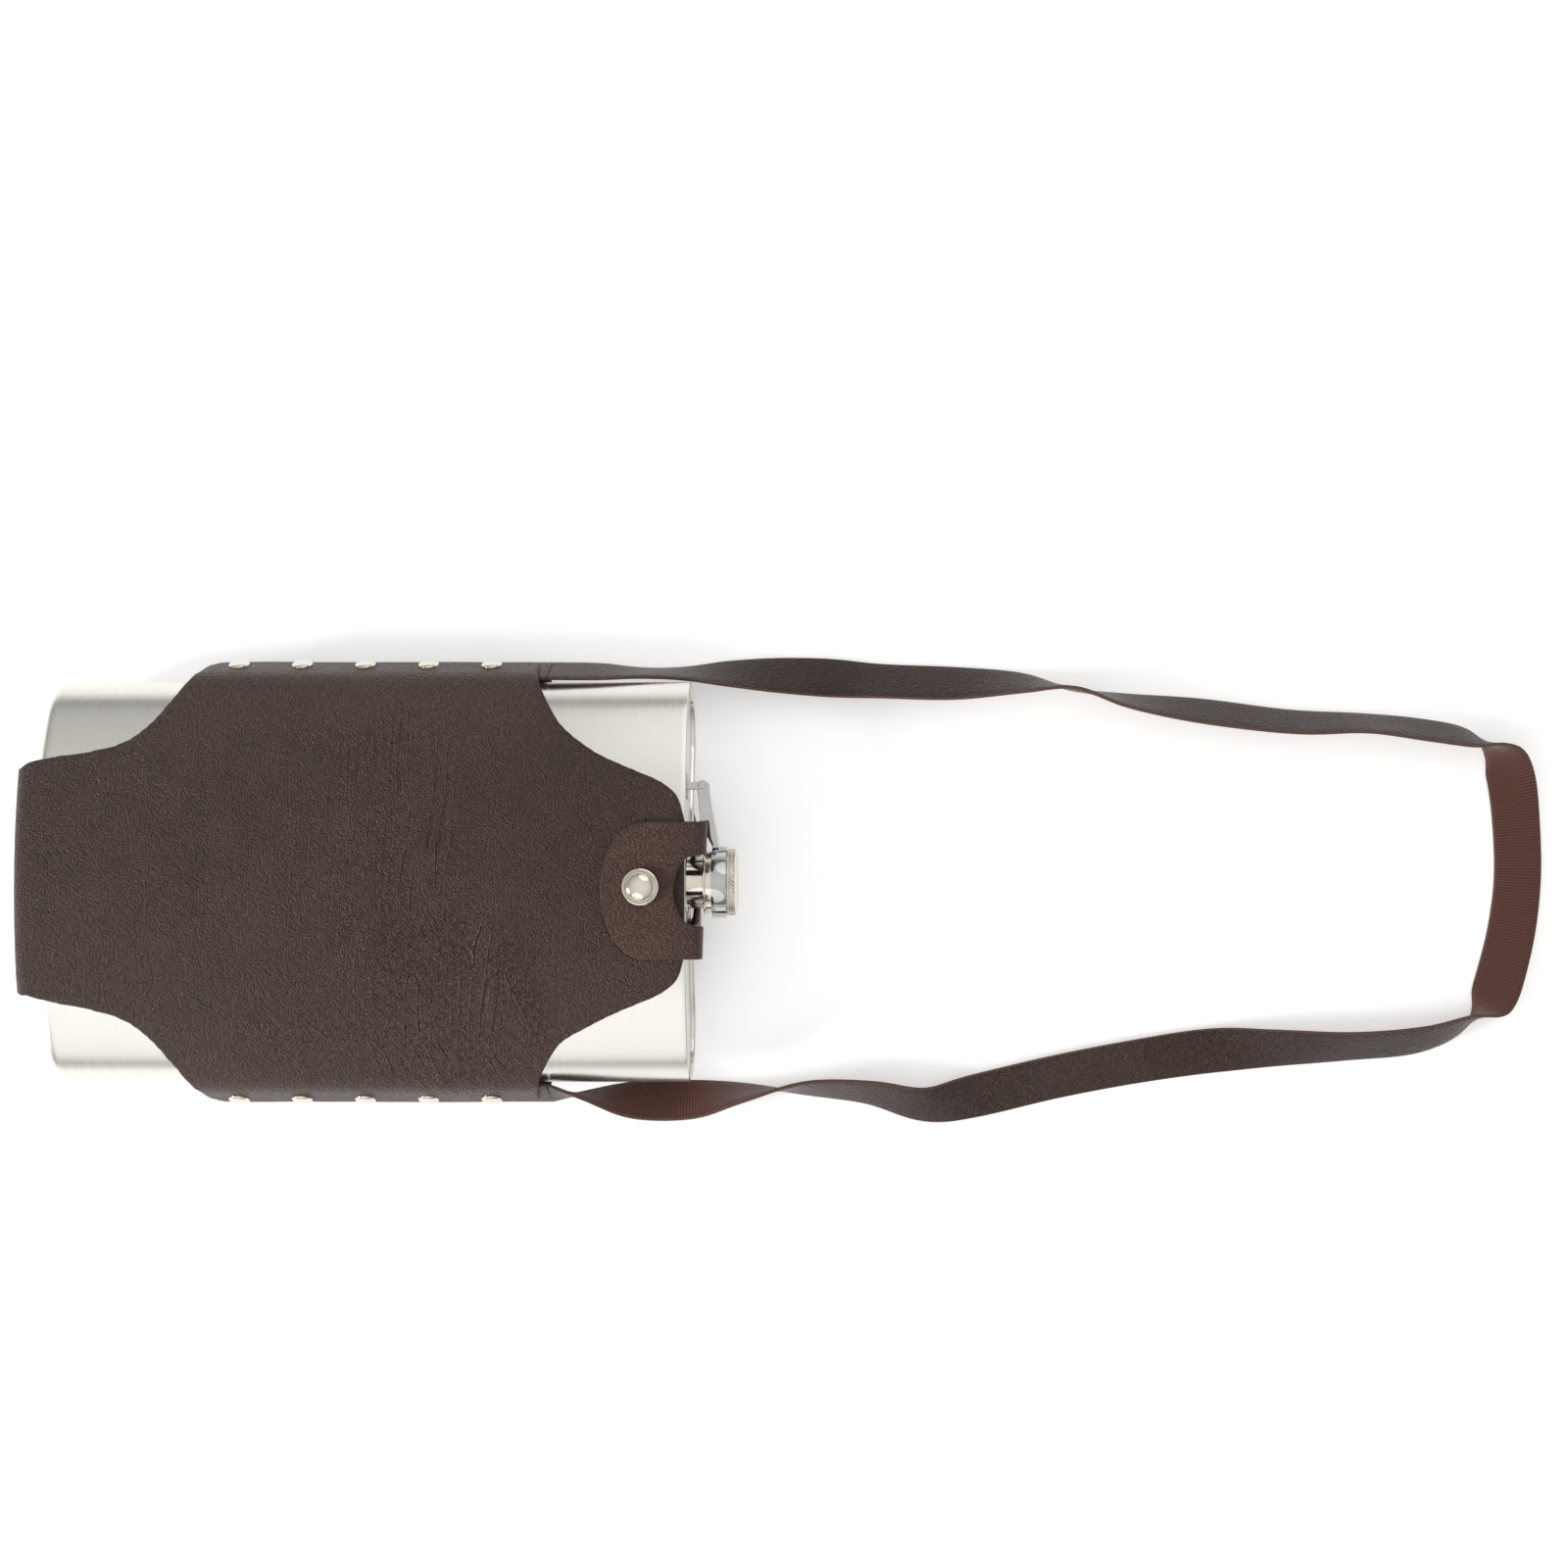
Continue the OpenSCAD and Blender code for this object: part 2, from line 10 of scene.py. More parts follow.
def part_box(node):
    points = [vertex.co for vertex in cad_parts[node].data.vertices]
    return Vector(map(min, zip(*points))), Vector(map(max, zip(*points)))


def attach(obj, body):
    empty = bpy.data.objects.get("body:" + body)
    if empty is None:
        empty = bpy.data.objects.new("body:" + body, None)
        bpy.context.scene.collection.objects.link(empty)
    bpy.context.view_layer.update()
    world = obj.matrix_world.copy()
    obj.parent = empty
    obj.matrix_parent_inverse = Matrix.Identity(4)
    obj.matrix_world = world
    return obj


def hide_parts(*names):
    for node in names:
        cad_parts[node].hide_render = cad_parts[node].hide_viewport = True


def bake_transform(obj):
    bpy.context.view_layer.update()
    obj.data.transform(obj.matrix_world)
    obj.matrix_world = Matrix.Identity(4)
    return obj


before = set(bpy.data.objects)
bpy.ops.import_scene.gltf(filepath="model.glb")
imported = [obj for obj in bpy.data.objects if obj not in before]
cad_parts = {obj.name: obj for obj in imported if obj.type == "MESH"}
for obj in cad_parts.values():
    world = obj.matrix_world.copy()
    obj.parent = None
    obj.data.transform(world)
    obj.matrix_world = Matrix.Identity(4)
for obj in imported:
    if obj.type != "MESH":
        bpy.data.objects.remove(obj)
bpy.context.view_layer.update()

bl_info = {
    "name": "Canteen in a leather sleeve",
    "version": (1, 0, 0),
    "blender": (4, 5, 0),
    "location": "3D View > Sidebar > Canteen",
    "description": "Builds a curved steel flask, its leather sleeve, captive cap and shoulder strap",
    "category": "Object",
}

MM = 0.001

# ---- sizes that come from the frame ---------------------------------------------------------

FLASK_LOW, FLASK_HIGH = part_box("flask_body")
X_BASE, X_TOP = FLASK_LOW.x, FLASK_HIGH.x
HALF_W = FLASK_HIGH.y
X_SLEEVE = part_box("sleeve_base")[0].x
BASE_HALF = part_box("sleeve_base")[1].y
NECK_LOW, NECK_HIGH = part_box("neck")
NECK_Z = (NECK_LOW.z + NECK_HIGH.z) / 2
SEAM_X0, SEAM_X1 = (v.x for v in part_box("strap_end_left"))
SEAM_SHIFT = 4 * MM                      # the strap ends sit this much nearer the cap than the seams
SNAP_LOW, SNAP_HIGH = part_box("snap_cap")
SNAP_X, SNAP_Y = (SNAP_LOW.x + SNAP_HIGH.x) / 2, (SNAP_LOW.y + SNAP_HIGH.y) / 2
TONGUE_LOW, TONGUE_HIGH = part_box("flap_tongue")
FLAP_Y = (TONGUE_LOW.y + TONGUE_HIGH.y) / 2
FLAP_HALF = (TONGUE_HIGH.y - TONGUE_LOW.y) / 2
FLAP_TIP_REACH = X_TOP - TONGUE_LOW.x
CAP_LOW, CAP_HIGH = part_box("screw_cap")


def length(name, about, mm):
    return bpy.props.FloatProperty(name=name, description=about, default=mm * MM, unit="LENGTH")


def colour(name, about, value):
    return bpy.props.FloatVectorProperty(
        name=name, description=about, subtype="COLOR", size=3, min=0, max=1, default=value)


class CanteenSizes(bpy.types.PropertyGroup):
    """Sizes that the frame doesn't hold"""
    flask_t: length("Flask thickness", "Thickness of the flask's curved section", 44)
    bend_r: length("Bend radius", "Radius of the section's curve at mid thickness", 173)
    base_round: length("Base rounding", "Radius of the flask's edge at its base", 5)
    leather_t: length("Leather thickness", "Thickness of the sleeve's leather", 1.8)
    fold_r: length("Fold radius", "Radius of the sleeve's fold at the base", 5.5)
    seam_slope: bpy.props.FloatProperty(
        name="Seam slope", description="Slope of the riveted side seams, in degrees from the front's face",
        default=64.0)
    seam_w: length("Seam width", "Width of the riveted side seams", 14)
    strap_w: length("Strap width", "Width of the shoulder strap", 20)
    strap_t: length("Strap thickness", "Thickness of the shoulder strap", 1.8)
    rivet_d: length("Rivet diameter", "Diameter of the side rivets' caps", 8.7)
    knurls: bpy.props.IntProperty(
        name="Knurls", description="Diamonds of the knurl around the cap", default=60, min=20)
    knurl_depth: length("Knurl depth", "Depth of the knurl's grooves", 0.4)
    grain: bpy.props.FloatProperty(
        name="Grain scale", description="Pebbles of the leather's grain in a metre", default=1000.0)
    weave: length("Weave pitch", "Distance between the strap lining's ribs", 1.25)


class CanteenColours(bpy.types.PropertyGroup):
    """Colours of the finishes"""
    # The dark tone is also painted as shade in the creases and cracks, round the flap and at the flap's fold;
    # the light tone, brightened, is also painted as the highlight along the creases' lips
    leather_dark: colour("Leather, dark", "Darkest tone of the leather", (0.039, 0.0170, 0.0116))
    leather_light: colour("Leather, light", "Worn tone of the leather", (0.065, 0.0310, 0.0216))
    lining: colour("Lining", "Woven backing of the strap", (0.110, 0.045, 0.035))
    steel: colour("Steel", "Brushed steel of the flask", (0.74, 0.725, 0.69))
    chrome: colour("Chrome", "Polished plate of the arm and its collar", (0.50, 0.50, 0.51))
    nickel: colour("Nickel", "Warm plate of the neck, cap, snap and rivets", (0.72, 0.68, 0.60))
    floor: colour("Floor", "Floor under the canteen", (0.86, 0.86, 0.86))


def sizes():
    return bpy.context.scene.canteen_sizes


def colours():
    return bpy.context.scene.canteen_colours


# ---- the flask's and the sleeve's sections ---------------------------------------------------


def polar(t):
    """Unit vector (y, z) at angle t from straight up"""
    return Vector((math.sin(t), math.cos(t)))


class Section:
    """The curved section: a band bent round a far centre, with half-round sides, and the leather round it"""

    def __init__(self):
        s = sizes()
        half, slope = s.leather_t / 2, math.radians(s.seam_slope)
        self.end_r = s.flask_t / 2
        self.end_y = HALF_W - self.end_r
        self.end_z = FLASK_LOW.z + self.end_r
        self.bend_a = math.asin(self.end_y / s.bend_r)
        self.bend_z = self.end_z - s.bend_r * math.cos(self.bend_a)
        self.front_r = s.bend_r + self.end_r
        self.back_r = s.bend_r - self.end_r
        gap, slack = FLASK_LOW.z - s.leather_t, 0.05 * MM
        # The seam's slope: out of it, and down along it
        self.slope = slope
        self.out = Vector((math.sin(slope), math.cos(slope)))
        self.down = Vector((math.cos(slope), -math.sin(slope)))
        self.panel_r = self.front_r + gap + half
        self.seam_back = self.end_r + gap + half
        self.seam_strap = self.seam_back + half + s.strap_t / 2 + slack
        self.seam_front = self.seam_strap + s.strap_t / 2 + half + slack
        # The shoulder, from the front panel's arc into the seam
        self.shoulder_r = 12 * MM - half
        v = Vector((self.end_y, self.end_z - self.bend_z)) + (self.seam_front - self.shoulder_r) * self.out
        b = v.dot(self.down)
        c = v - (b + math.sqrt(b * b - v.dot(v) + (self.panel_r - self.shoulder_r) ** 2)) * self.down
        self.shoulder_a = math.atan2(c.x, c.y)
        self.shoulder = Vector((c.x, c.y + self.bend_z))
        self.arc_len = self.panel_r * self.shoulder_a
        self.shoulder_len = self.shoulder_r * (slope - self.shoulder_a)
        # The heel, from the ground up into the seam
        low = self.seam(self.seam_back + half, s.seam_w)
        heel_r = low.y / (1 + math.cos(slope))
        self.heel = Vector((low.x - heel_r * math.sin(slope), heel_r))
        self.heel_r = heel_r - half
        self.heel_len = self.heel_r * (math.pi - slope)
        self.back_half = half

    def seam(self, d, w):
        """Point d out from the centre of the flask's side and w down the seam"""
        return Vector((self.end_y + d * math.sin(self.slope) + w * math.cos(self.slope),
                       self.end_z + d * math.cos(self.slope) - w * math.sin(self.slope)))

    def front(self, u):
        """Middle of the front panel's leather at u from the centre line: (y, z) and the outward normal"""
        side, a = math.copysign(1, u), abs(u)
        past = a - self.arc_len - self.shoulder_len
        if a <= self.arc_len:
            t = a / self.panel_r
            n = polar(t)
            p = Vector((self.panel_r * math.sin(t), self.bend_z + self.panel_r * math.cos(t)))
        elif past <= 0:
            n = polar(self.shoulder_a + (a - self.arc_len) / self.shoulder_r)
            p = self.shoulder + self.shoulder_r * n
        else:
            n = self.out
            p = self.shoulder + self.shoulder_r * n + past * self.down
        return Vector((side * p.x, p.y)), Vector((side * n.x, n.y))

    def back(self, u):
        """The same for the back panel, whose normal points down and out"""
        side, a = math.copysign(1, u), abs(u)
        past = a - self.heel.x - self.heel_len
        if a <= self.heel.x:
            n = polar(math.pi)
            p = Vector((a, self.back_half))
        elif past <= 0:
            n = polar(math.pi - (a - self.heel.x) / self.heel_r)
            p = self.heel + self.heel_r * n
        else:
            n = self.out
            p = self.heel + self.heel_r * n - past * self.down
        return Vector((side * p.x, p.y)), Vector((side * n.x, n.y))

    def reach(self, panel, y):
        """Distance along a panel's leather, front or back, from the centre line to half width y"""
        low, high = 0.0, self.arc_len + self.shoulder_len + 40 * MM
        for _ in range(40):
            mid = (low + high) / 2
            low, high = (mid, high) if panel(mid)[0].x < y else (low, mid)
        return low

    def front_z(self, y):
        return self.bend_z + math.sqrt(self.panel_r ** 2 - y * y)


# ---- helpers for meshes ----------------------------------------------------------------------


def deselect():
    if bpy.context.object and bpy.context.object.mode != "OBJECT":
        bpy.ops.object.mode_set(mode="OBJECT")
    bpy.ops.object.select_all(action="DESELECT")


def activate(obj):
    deselect()
    obj.select_set(True)
    bpy.context.view_layer.objects.active = obj
    return obj


def edit_all(obj):
    activate(obj)
    bpy.ops.object.mode_set(mode="EDIT")
    bpy.ops.mesh.select_all(action="SELECT")


def new_piece(name, bm, materials):
    """An object from a bmesh, at the origin"""
    mesh = bpy.data.meshes.new(name)
    bm.to_mesh(mesh)
    bm.free()
    obj = bpy.data.objects.new(name, mesh)
    bpy.context.scene.collection.objects.link(obj)
    for m in materials:
        mesh.materials.append(m)
    return activate(obj)


def apply_modifiers(obj):
    activate(obj)
    for m in list(obj.modifiers):
        bpy.ops.object.modifier_apply(modifier=m.name)
    return obj


def smooth(obj, degrees=40):
    activate(obj)
    bpy.ops.object.shade_smooth_by_angle(angle=math.radians(degrees))
    return obj


def tidy(obj, dist=0.01 * MM):
    """Merges doubles and turns the faces outwards"""
    edit_all(obj)
    bpy.ops.mesh.remove_doubles(threshold=dist)
    bpy.ops.mesh.normals_make_consistent(inside=False)
    bpy.ops.object.mode_set(mode="OBJECT")
    return obj


def catmull(points, steps):
    """A smooth curve through points, steps between each pair"""
    out = []
    for i in range(len(points) - 1):
        a, b = points[max(i - 1, 0)], points[i]
        c, d = points[i + 1], points[min(i + 2, len(points) - 1)]
        for k in range(steps):
            t = k / steps
            out.append([0.5 * (2 * q + (r - p) * t + (2 * p - 5 * q + 4 * r - s) * t * t
                               + (3 * q - p - 3 * r + s) * t ** 3)
                        for p, q, r, s in zip(a, b, c, d)])
    out.append(list(points[-1]))
    return out


def arc(x, y, rx, ry, degrees):
    """Points of an ellipse about (x, y), at angles from its first axis"""
    return [(x + rx * math.cos(a), y + ry * math.sin(a)) for a in map(math.radians, degrees)]


def clamp(x):
    return min(1.0, max(0.0, x))


def ripple(*at):
    """Smooth noise between -1 and 1"""
    return noise.noise(Vector(at))


def settle(piece, body, slot, *nodes):
    """Says which body a piece rides and hides the CAD nodes it replaces. Its slot is not used."""
    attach(piece, body)
    if nodes:
        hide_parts(*nodes)


def loop_piece(name, points, materials):
    """A closed line through points, drawn from a circle"""
    deselect()
    bpy.ops.mesh.primitive_circle_add(vertices=len(points), radius=10 * MM, location=(0, 0, 0))
    obj = bpy.context.object
    obj.name = obj.data.name = name
    for v, p in zip(obj.data.vertices, points):
        v.co = p
    for m in materials:
        obj.data.materials.append(m)
    return obj


def swept(name, rings, materials, finish_from=None):
    """Extrudes a ring of points through the rings after it and closes both ends. Faces from the ring
    finish_from on take the second material."""
    obj = loop_piece(name, rings[0], materials)
    edit_all(obj)
    bpy.ops.mesh.edge_face_add()
    for i, (ring, after) in enumerate(zip(rings, rings[1:])):
        where = {tuple(round(c, 7) for c in Vector(p)): k for k, p in enumerate(ring)}
        bpy.ops.mesh.extrude_region_move()
        bm = bmesh.from_edit_mesh(obj.data)
        for v in bm.verts:
            if v.select:
                v.co = after[where[tuple(round(c, 7) for c in v.co)]]
        if finish_from is not None and i >= finish_from:
            for f in {f for v in bm.verts if v.select for f in v.link_faces}:
                f.material_index = 1
    bmesh.update_edit_mesh(obj.data)
    bpy.ops.object.mode_set(mode="OBJECT")
    return obj


def lathe(name, profile, centre, axis, material, steps=96):
    """Spins a profile of (radius, height) about an axis through centre"""
    axis = Vector(axis).normalized()
    side = axis.orthogonal().normalized()
    centre = Vector(centre)
    obj = loop_piece(name, [centre + side * r + axis * h for r, h in profile], [material])
    edit_all(obj)
    bpy.ops.mesh.spin(steps=steps, angle=2 * math.pi, center=centre, axis=axis)
    bpy.ops.object.mode_set(mode="OBJECT")
    tidy(obj)
    return smooth(obj, 35)


def refined(node, name, material, width):
    """A copy of a CAD node with its sharp edges rounded"""
    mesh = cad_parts[node].data.copy()
    obj = bpy.data.objects.new(name, mesh)
    bpy.context.scene.collection.objects.link(obj)
    mesh.materials.clear()
    mesh.materials.append(material)
    tidy(obj, 0.002 * MM)
    edit_all(obj)
    bpy.ops.mesh.dissolve_limited(angle_limit=math.radians(1))
    bpy.ops.object.mode_set(mode="OBJECT")
    bevel = obj.modifiers.new("edge", "BEVEL")
    bevel.width, bevel.segments = width, 3
    bevel.limit_method, bevel.angle_limit = "ANGLE", math.radians(30)
    apply_modifiers(obj)
    return smooth(obj, 35)


def flat_sheet(outline, cell):
    """A flat sheet (v, u, 0) cut to an outline and scored into cells"""
    bm = bmesh.new()
    bm.faces.new([bm.verts.new((p[0], p[1], 0)) for p in outline])
    for axis in (0, 1):
        low = min(p[axis] for p in outline)
        high = max(p[axis] for p in outline)
        count = max(1, round((high - low) / cell))
        normal = Vector((1, 0, 0)) if axis == 0 else Vector((0, 1, 0))
        for i in range(1, count):
            at = low + (high - low) * i / count
            bmesh.ops.bisect_plane(
                bm, geom=bm.verts[:] + bm.edges[:] + bm.faces[:], plane_co=normal * at, plane_no=normal)
    bmesh.ops.remove_doubles(bm, verts=bm.verts[:], dist=cell * 0.18)
    return bm


def leather_piece(name, bm, place, thickness, materials, face_up):
    """Lays a flat sheet out with place(v, u) -> point, and gives it thickness and soft edges. face_up says
    that the flat sheet's upper side ends up outside. The flat coordinates stay on it as a UV map."""
    uv = bm.loops.layers.uv.new("flat")
    bmesh.ops.recalc_face_normals(bm, faces=bm.faces[:])
    if (sum(f.normal.z for f in bm.faces) > 0) != face_up:
        bmesh.ops.reverse_faces(bm, faces=bm.faces[:])
    for f in bm.faces:
        for loop in f.loops:
            loop[uv].uv = (loop.vert.co.x, loop.vert.co.y)
    for v in bm.verts:
        v.co = place(v.co.x, v.co.y)
    obj = new_piece(name, bm, materials)
    wall = obj.modifiers.new("thickness", "SOLIDIFY")
    wall.thickness = thickness
    wall.offset = 0
    wall.use_even_offset = True
    wall.material_offset = 1
    wall.material_offset_rim = 2
    wall.edge_crease_rim = 0.55
    apply_modifiers(obj)
    soft = obj.modifiers.new("soft edge", "SUBSURF")
    soft.levels = soft.render_levels = 1
    soft.uv_smooth = "PRESERVE_BOUNDARIES"
    apply_modifiers(obj)
    return smooth(obj, 60)


# ---- materials -------------------------------------------------------------------------------


class Shader:
    """A material under construction, with its base colour and its bumps so far"""

    def __init__(self, name):
        self.mat = bpy.data.materials.new(name)
        self.mat.use_nodes = True
        self.tree = self.mat.node_tree
        self.bsdf = next(n for n in self.tree.nodes if n.type == "BSDF_PRINCIPLED")
        self.tone = self.normal = None

    def node(self, kind, inputs=None, **props):
        n = self.tree.nodes.new(kind)
        for k, v in props.items():
            setattr(n, k, v)
        for k, v in (inputs or {}).items():
            self.put(n.inputs[k], v)
        return n

    def put(self, socket, value):
        if isinstance(value, bpy.types.NodeSocket):
            self.tree.links.new(value, socket)
        else:
            socket.default_value = value

    def coords(self, scale=(1, 1, 1), shift=(0, 0, 0), turn=(0, 0, 0)):
        return self.node("ShaderNodeMapping", {
            "Vector": self.node("ShaderNodeTexCoord").outputs["Object"],
            "Scale": scale, "Location": shift, "Rotation": turn}).outputs["Vector"]

    def split(self, vector):
        return self.node("ShaderNodeSeparateXYZ", {"Vector": vector}).outputs

    def noise(self, vector, scale, detail, rough):
        return self.node("ShaderNodeTexNoise", {
            "Vector": vector, "Scale": scale, "Detail": detail, "Roughness": rough}).outputs["Fac"]

    def cells(self, vector, scale, feature="F1"):
        return self.node("ShaderNodeTexVoronoi", {"Vector": vector, "Scale": scale, "Randomness": 1.0},
                         feature=feature).outputs["Distance"]

    def math(self, op, a, b=0.0):
        n = self.node("ShaderNodeMath", operation=op)
        self.put(n.inputs[0], a)
        self.put(n.inputs[1], b)
        return n.outputs[0]

    def times(self, a, b):
        return self.math("MULTIPLY", a, b)

    def plus(self, a, b):
        return self.math("ADD", a, b)

    def less(self, a, b):
        return self.math("SUBTRACT", a, b)

    def most(self, a, b):
        return self.math("MAXIMUM", a, b)

    def ramp(self, fac, low, high, out_low=0.0, out_high=1.0, kind="SMOOTHSTEP"):
        return self.node("ShaderNodeMapRange", {
            "Value": fac, "From Min": low, "From Max": high, "To Min": out_low, "To Max": out_high},
            interpolation_type=kind).outputs["Result"]

    def base(self, c, level=1.0):
        """Starts the base colour with c, scaled by level"""
        self.tone = (c[0] * level, c[1] * level, c[2] * level, 1.0)

    def tint(self, fac, c, level=1.0):
        """Mixes c, scaled by level, over the base colour"""
        n = self.node("ShaderNodeMix", {"Factor": fac}, data_type="RGBA")
        self.put(n.inputs[6], self.tone)
        self.put(n.inputs[7], (c[0] * level, c[1] * level, c[2] * level, 1.0))
        self.tone = n.outputs[2]

    def bump(self, height, distance):
        """Adds a bump of the given depth in metres to those before it"""
        n = self.node("ShaderNodeBump", {"Height": height, "Distance": distance, "Strength": 1.0})
        if self.normal is not None:
            self.tree.links.new(self.normal, n.inputs["Normal"])
        self.normal = n.outputs["Normal"]
        self.put(self.bsdf.inputs["Normal"], self.normal)

    def done(self, **values):
        """Sets the surface's base colour and its other values, and gives back the material"""
        for k, v in dict(values, Base_Color=self.tone).items():
            self.put(self.bsdf.inputs[k.replace("_", " ")], v)
        return self.mat


def region(s, centre, reach, soft=0.35):
    """1 inside an ellipse about centre in the row frame, fading to 0 at its edge"""
    co = s.coords(scale=[1 / r for r in reach], shift=[-c / r for c, r in zip(centre, reach)])
    length = s.node("ShaderNodeVectorMath", {0: co}, operation="LENGTH").outputs["Value"]
    return s.ramp(length, 1.0, soft)


def net(s, spacing, stretch, turn, width, wobble=1.6 * MM):
    """1 along a net of fine creases, which run across the canteen before they are turned"""
    co = s.coords(turn=(0, 0, turn))
    shake = s.node("ShaderNodeTexNoise", {"Vector": co, "Scale": 110, "Detail": 3, "Roughness": 0.6})
    shift = s.node("ShaderNodeVectorMath", {0: shake.outputs["Color"], 1: (0.5, 0.5, 0.5)},
                   operation="SUBTRACT")
    moved = s.node("ShaderNodeVectorMath", {0: shift.outputs[0], 1: (wobble, wobble * 2, wobble), 2: co},
                   operation="MULTIPLY_ADD")
    long = s.node("ShaderNodeMapping", {"Vector": moved.outputs[0], "Scale": (1, stretch, stretch)})
    return s.ramp(s.cells(long.outputs["Vector"], 1 / spacing, "DISTANCE_TO_EDGE"), width, 0.0)


def creases(s, spacing, turn, wander, where, seed):
    """Long broken creases inside a mask, as 1 along each line and 1 along the lip beside it. They run
    across the canteen before they are turned"""
    co = s.coords(turn=(0, 0, turn), shift=(seed, 0, 0))
    drawn = s.node("ShaderNodeMapping", {"Vector": co, "Scale": (1, 0.28, 0.28)}).outputs["Vector"]
    slow = s.times(s.less(s.noise(drawn, 40, 2, 0.5), 0.5), wander)
    quick = s.times(s.less(s.noise(co, 170, 2, 0.6), 0.5), 1.2 * MM)
    at = s.math("DIVIDE", s.plus(s.split(co)["X"], s.plus(slow, quick)), spacing)
    off = s.math("ABSOLUTE", s.less(s.math("FRACT", at), 0.5))
    mask = s.times(where, s.ramp(s.noise(drawn, 75, 3, 0.6), 0.40, 0.52))
    width = 0.40 * MM / spacing
    line = s.ramp(off, width, 0.0)
    return s.times(line, mask), s.times(s.less(s.ramp(off, 1.9 * width, width), line), mask)


def wrinkle(s, dark, light):
    """Marks the sleeve's front: long creases across its middle and slanting ones that cross where one corner
    was bent, each with painted shade along its line and a painted highlight along its lip, a painted shadow
    round the flap's edge, and a scuff by the last rivet"""
    middle = s.most(region(s, (0.010, 0.026, 0.06), (0.036, 0.060, 0.09), 0.5),
                    s.times(region(s, (-0.02, 0.0, 0.06), (0.12, 0.09, 0.09), 0.4), 0.22))
    corner = region(s, (0.030, -0.052, 0.045), (0.052, 0.052, 0.09), 0.55)
    bent = s.most(corner, s.times(region(s, (-0.035, -0.058, 0.045), (0.05, 0.030, 0.09), 0.4), 0.6))
    lines = lips = 0.0
    for spacing, turn, wander, where, seed in (
            (3.9, 0.06, 22, middle, 0.0), (4.2, -0.42, 18, bent, 0.7),
            (3.4, 0.16, 20, corner, 1.3), (5.2, -0.80, 14, s.times(bent, 0.8), 2.1)):
        line, lip = creases(s, spacing * MM, turn, wander * MM, where, seed)
        lines, lips = s.most(line, lines), s.most(lip, lips)
    s.bump(s.less(s.times(lips, 0.5), lines), 0.7 * MM)
    # Painted shade along each crease line and a painted highlight along the lip beside it
    s.tint(s.times(lines, 0.85), dark, 0.25)
    s.tint(s.times(lips, 0.50), light, 2.3)
    # Painted shadow of the flap on the front, fading out just past its edge
    flap_shadow = region(s, (X_TOP - 15 * MM, FLAP_Y, 0.06),
                    (FLAP_TIP_REACH - 13 * MM, FLAP_HALF + 2.2 * MM, 0.2), 0.86)
    s.tint(s.times(flap_shadow, 0.6), dark, 0.3)
    scuff = s.times(region(s, (0.0425, -0.0855, 0.034), (0.0035, 0.0045, 0.006), 0.2),
                    s.ramp(s.noise(s.coords(), 700, 3, 0.7), 0.45, 0.62))
    s.tint(s.times(scuff, 0.8), (0.42, 0.33, 0.27))


def leather_material(name="leather", shade=1.0, kind="sleeve"):
    """Dark brown pebbled leather with painted shade in its fine creases: creased on the sleeve with painted
    shade and painted highlights along the creases, cracked on the strap with painted shade in the cracks, and
    with painted shade at the flap's fold
    """
    c, grain = colours(), sizes().grain
    s = Shader(name)
    obj = s.coords()
    mottle = s.noise(obj, 70, 4, 0.6)
    pebble = s.cells(obj, grain)
    fine = s.cells(s.coords(shift=(0.1, 0, 0)), grain * 1.9)
    fold = net(s, 2.6 * MM, 0.55, 0.35, 0.13, 1.2 * MM)
    dark, light = [x * shade for x in c.leather_dark], [x * shade for x in c.leather_light]
    s.base(dark)
    s.tint(s.ramp(s.noise(obj, 9, 3, 0.55), 0.35, 0.7), light)
    s.tint(s.ramp(mottle, 0.3, 0.75, 0.0, 0.35), light, 1.25)
    s.tint(s.ramp(pebble, 0.34, 0.66, 0.0, 0.55), dark, 0.4)
    # Painted shade along the fine creases of the net
    s.tint(s.times(fold, 0.25), dark, 0.4)
    s.bump(s.times(fold, -1.0), 0.08 * MM)
    if kind == "flap":
        # Painted shade on the flap where it turns down over the top end
        s.tint(s.ramp(s.split(obj)["X"], X_TOP - 12 * MM, X_TOP - 1 * MM, 0.0, 0.6), dark, 0.6)
    if kind == "strap":
        cracks = s.times(net(s, 3.4 * MM, 0.8, 0.2, 0.10), s.ramp(s.noise(obj, 30, 2, 0.5), 0.42, 0.6))
        s.bump(s.times(cracks, -1.0), 0.2 * MM)
        # Painted shade in the cracks
        s.tint(s.times(cracks, 0.4), dark, 0.4)
    if kind == "sleeve":
        wrinkle(s, dark, light)
    s.bump(s.less(0.0, s.plus(pebble, s.times(fine, 0.45))), 0.6 * MM)
    return s.done(Roughness=s.ramp(mottle, 0.3, 0.8, 0.28, 0.42, "LINEAR"), Specular_IOR_Level=0.37,
                  Sheen_Weight=0.02, Sheen_Roughness=0.45)


def cut_edge_material():
    """The raw cut edge of the leather: fibrous and a little lighter"""
    s = Shader("leather_cut_edge")
    fibre = s.noise(s.coords(), 1900, 4, 0.7)
    s.base((0.060, 0.034, 0.026))
    s.tint(s.ramp(fibre, 0.3, 0.7), (0.15, 0.095, 0.075))
    s.bump(fibre, 0.12 * MM)
    return s.done(Roughness=0.8, Specular_IOR_Level=0.25)


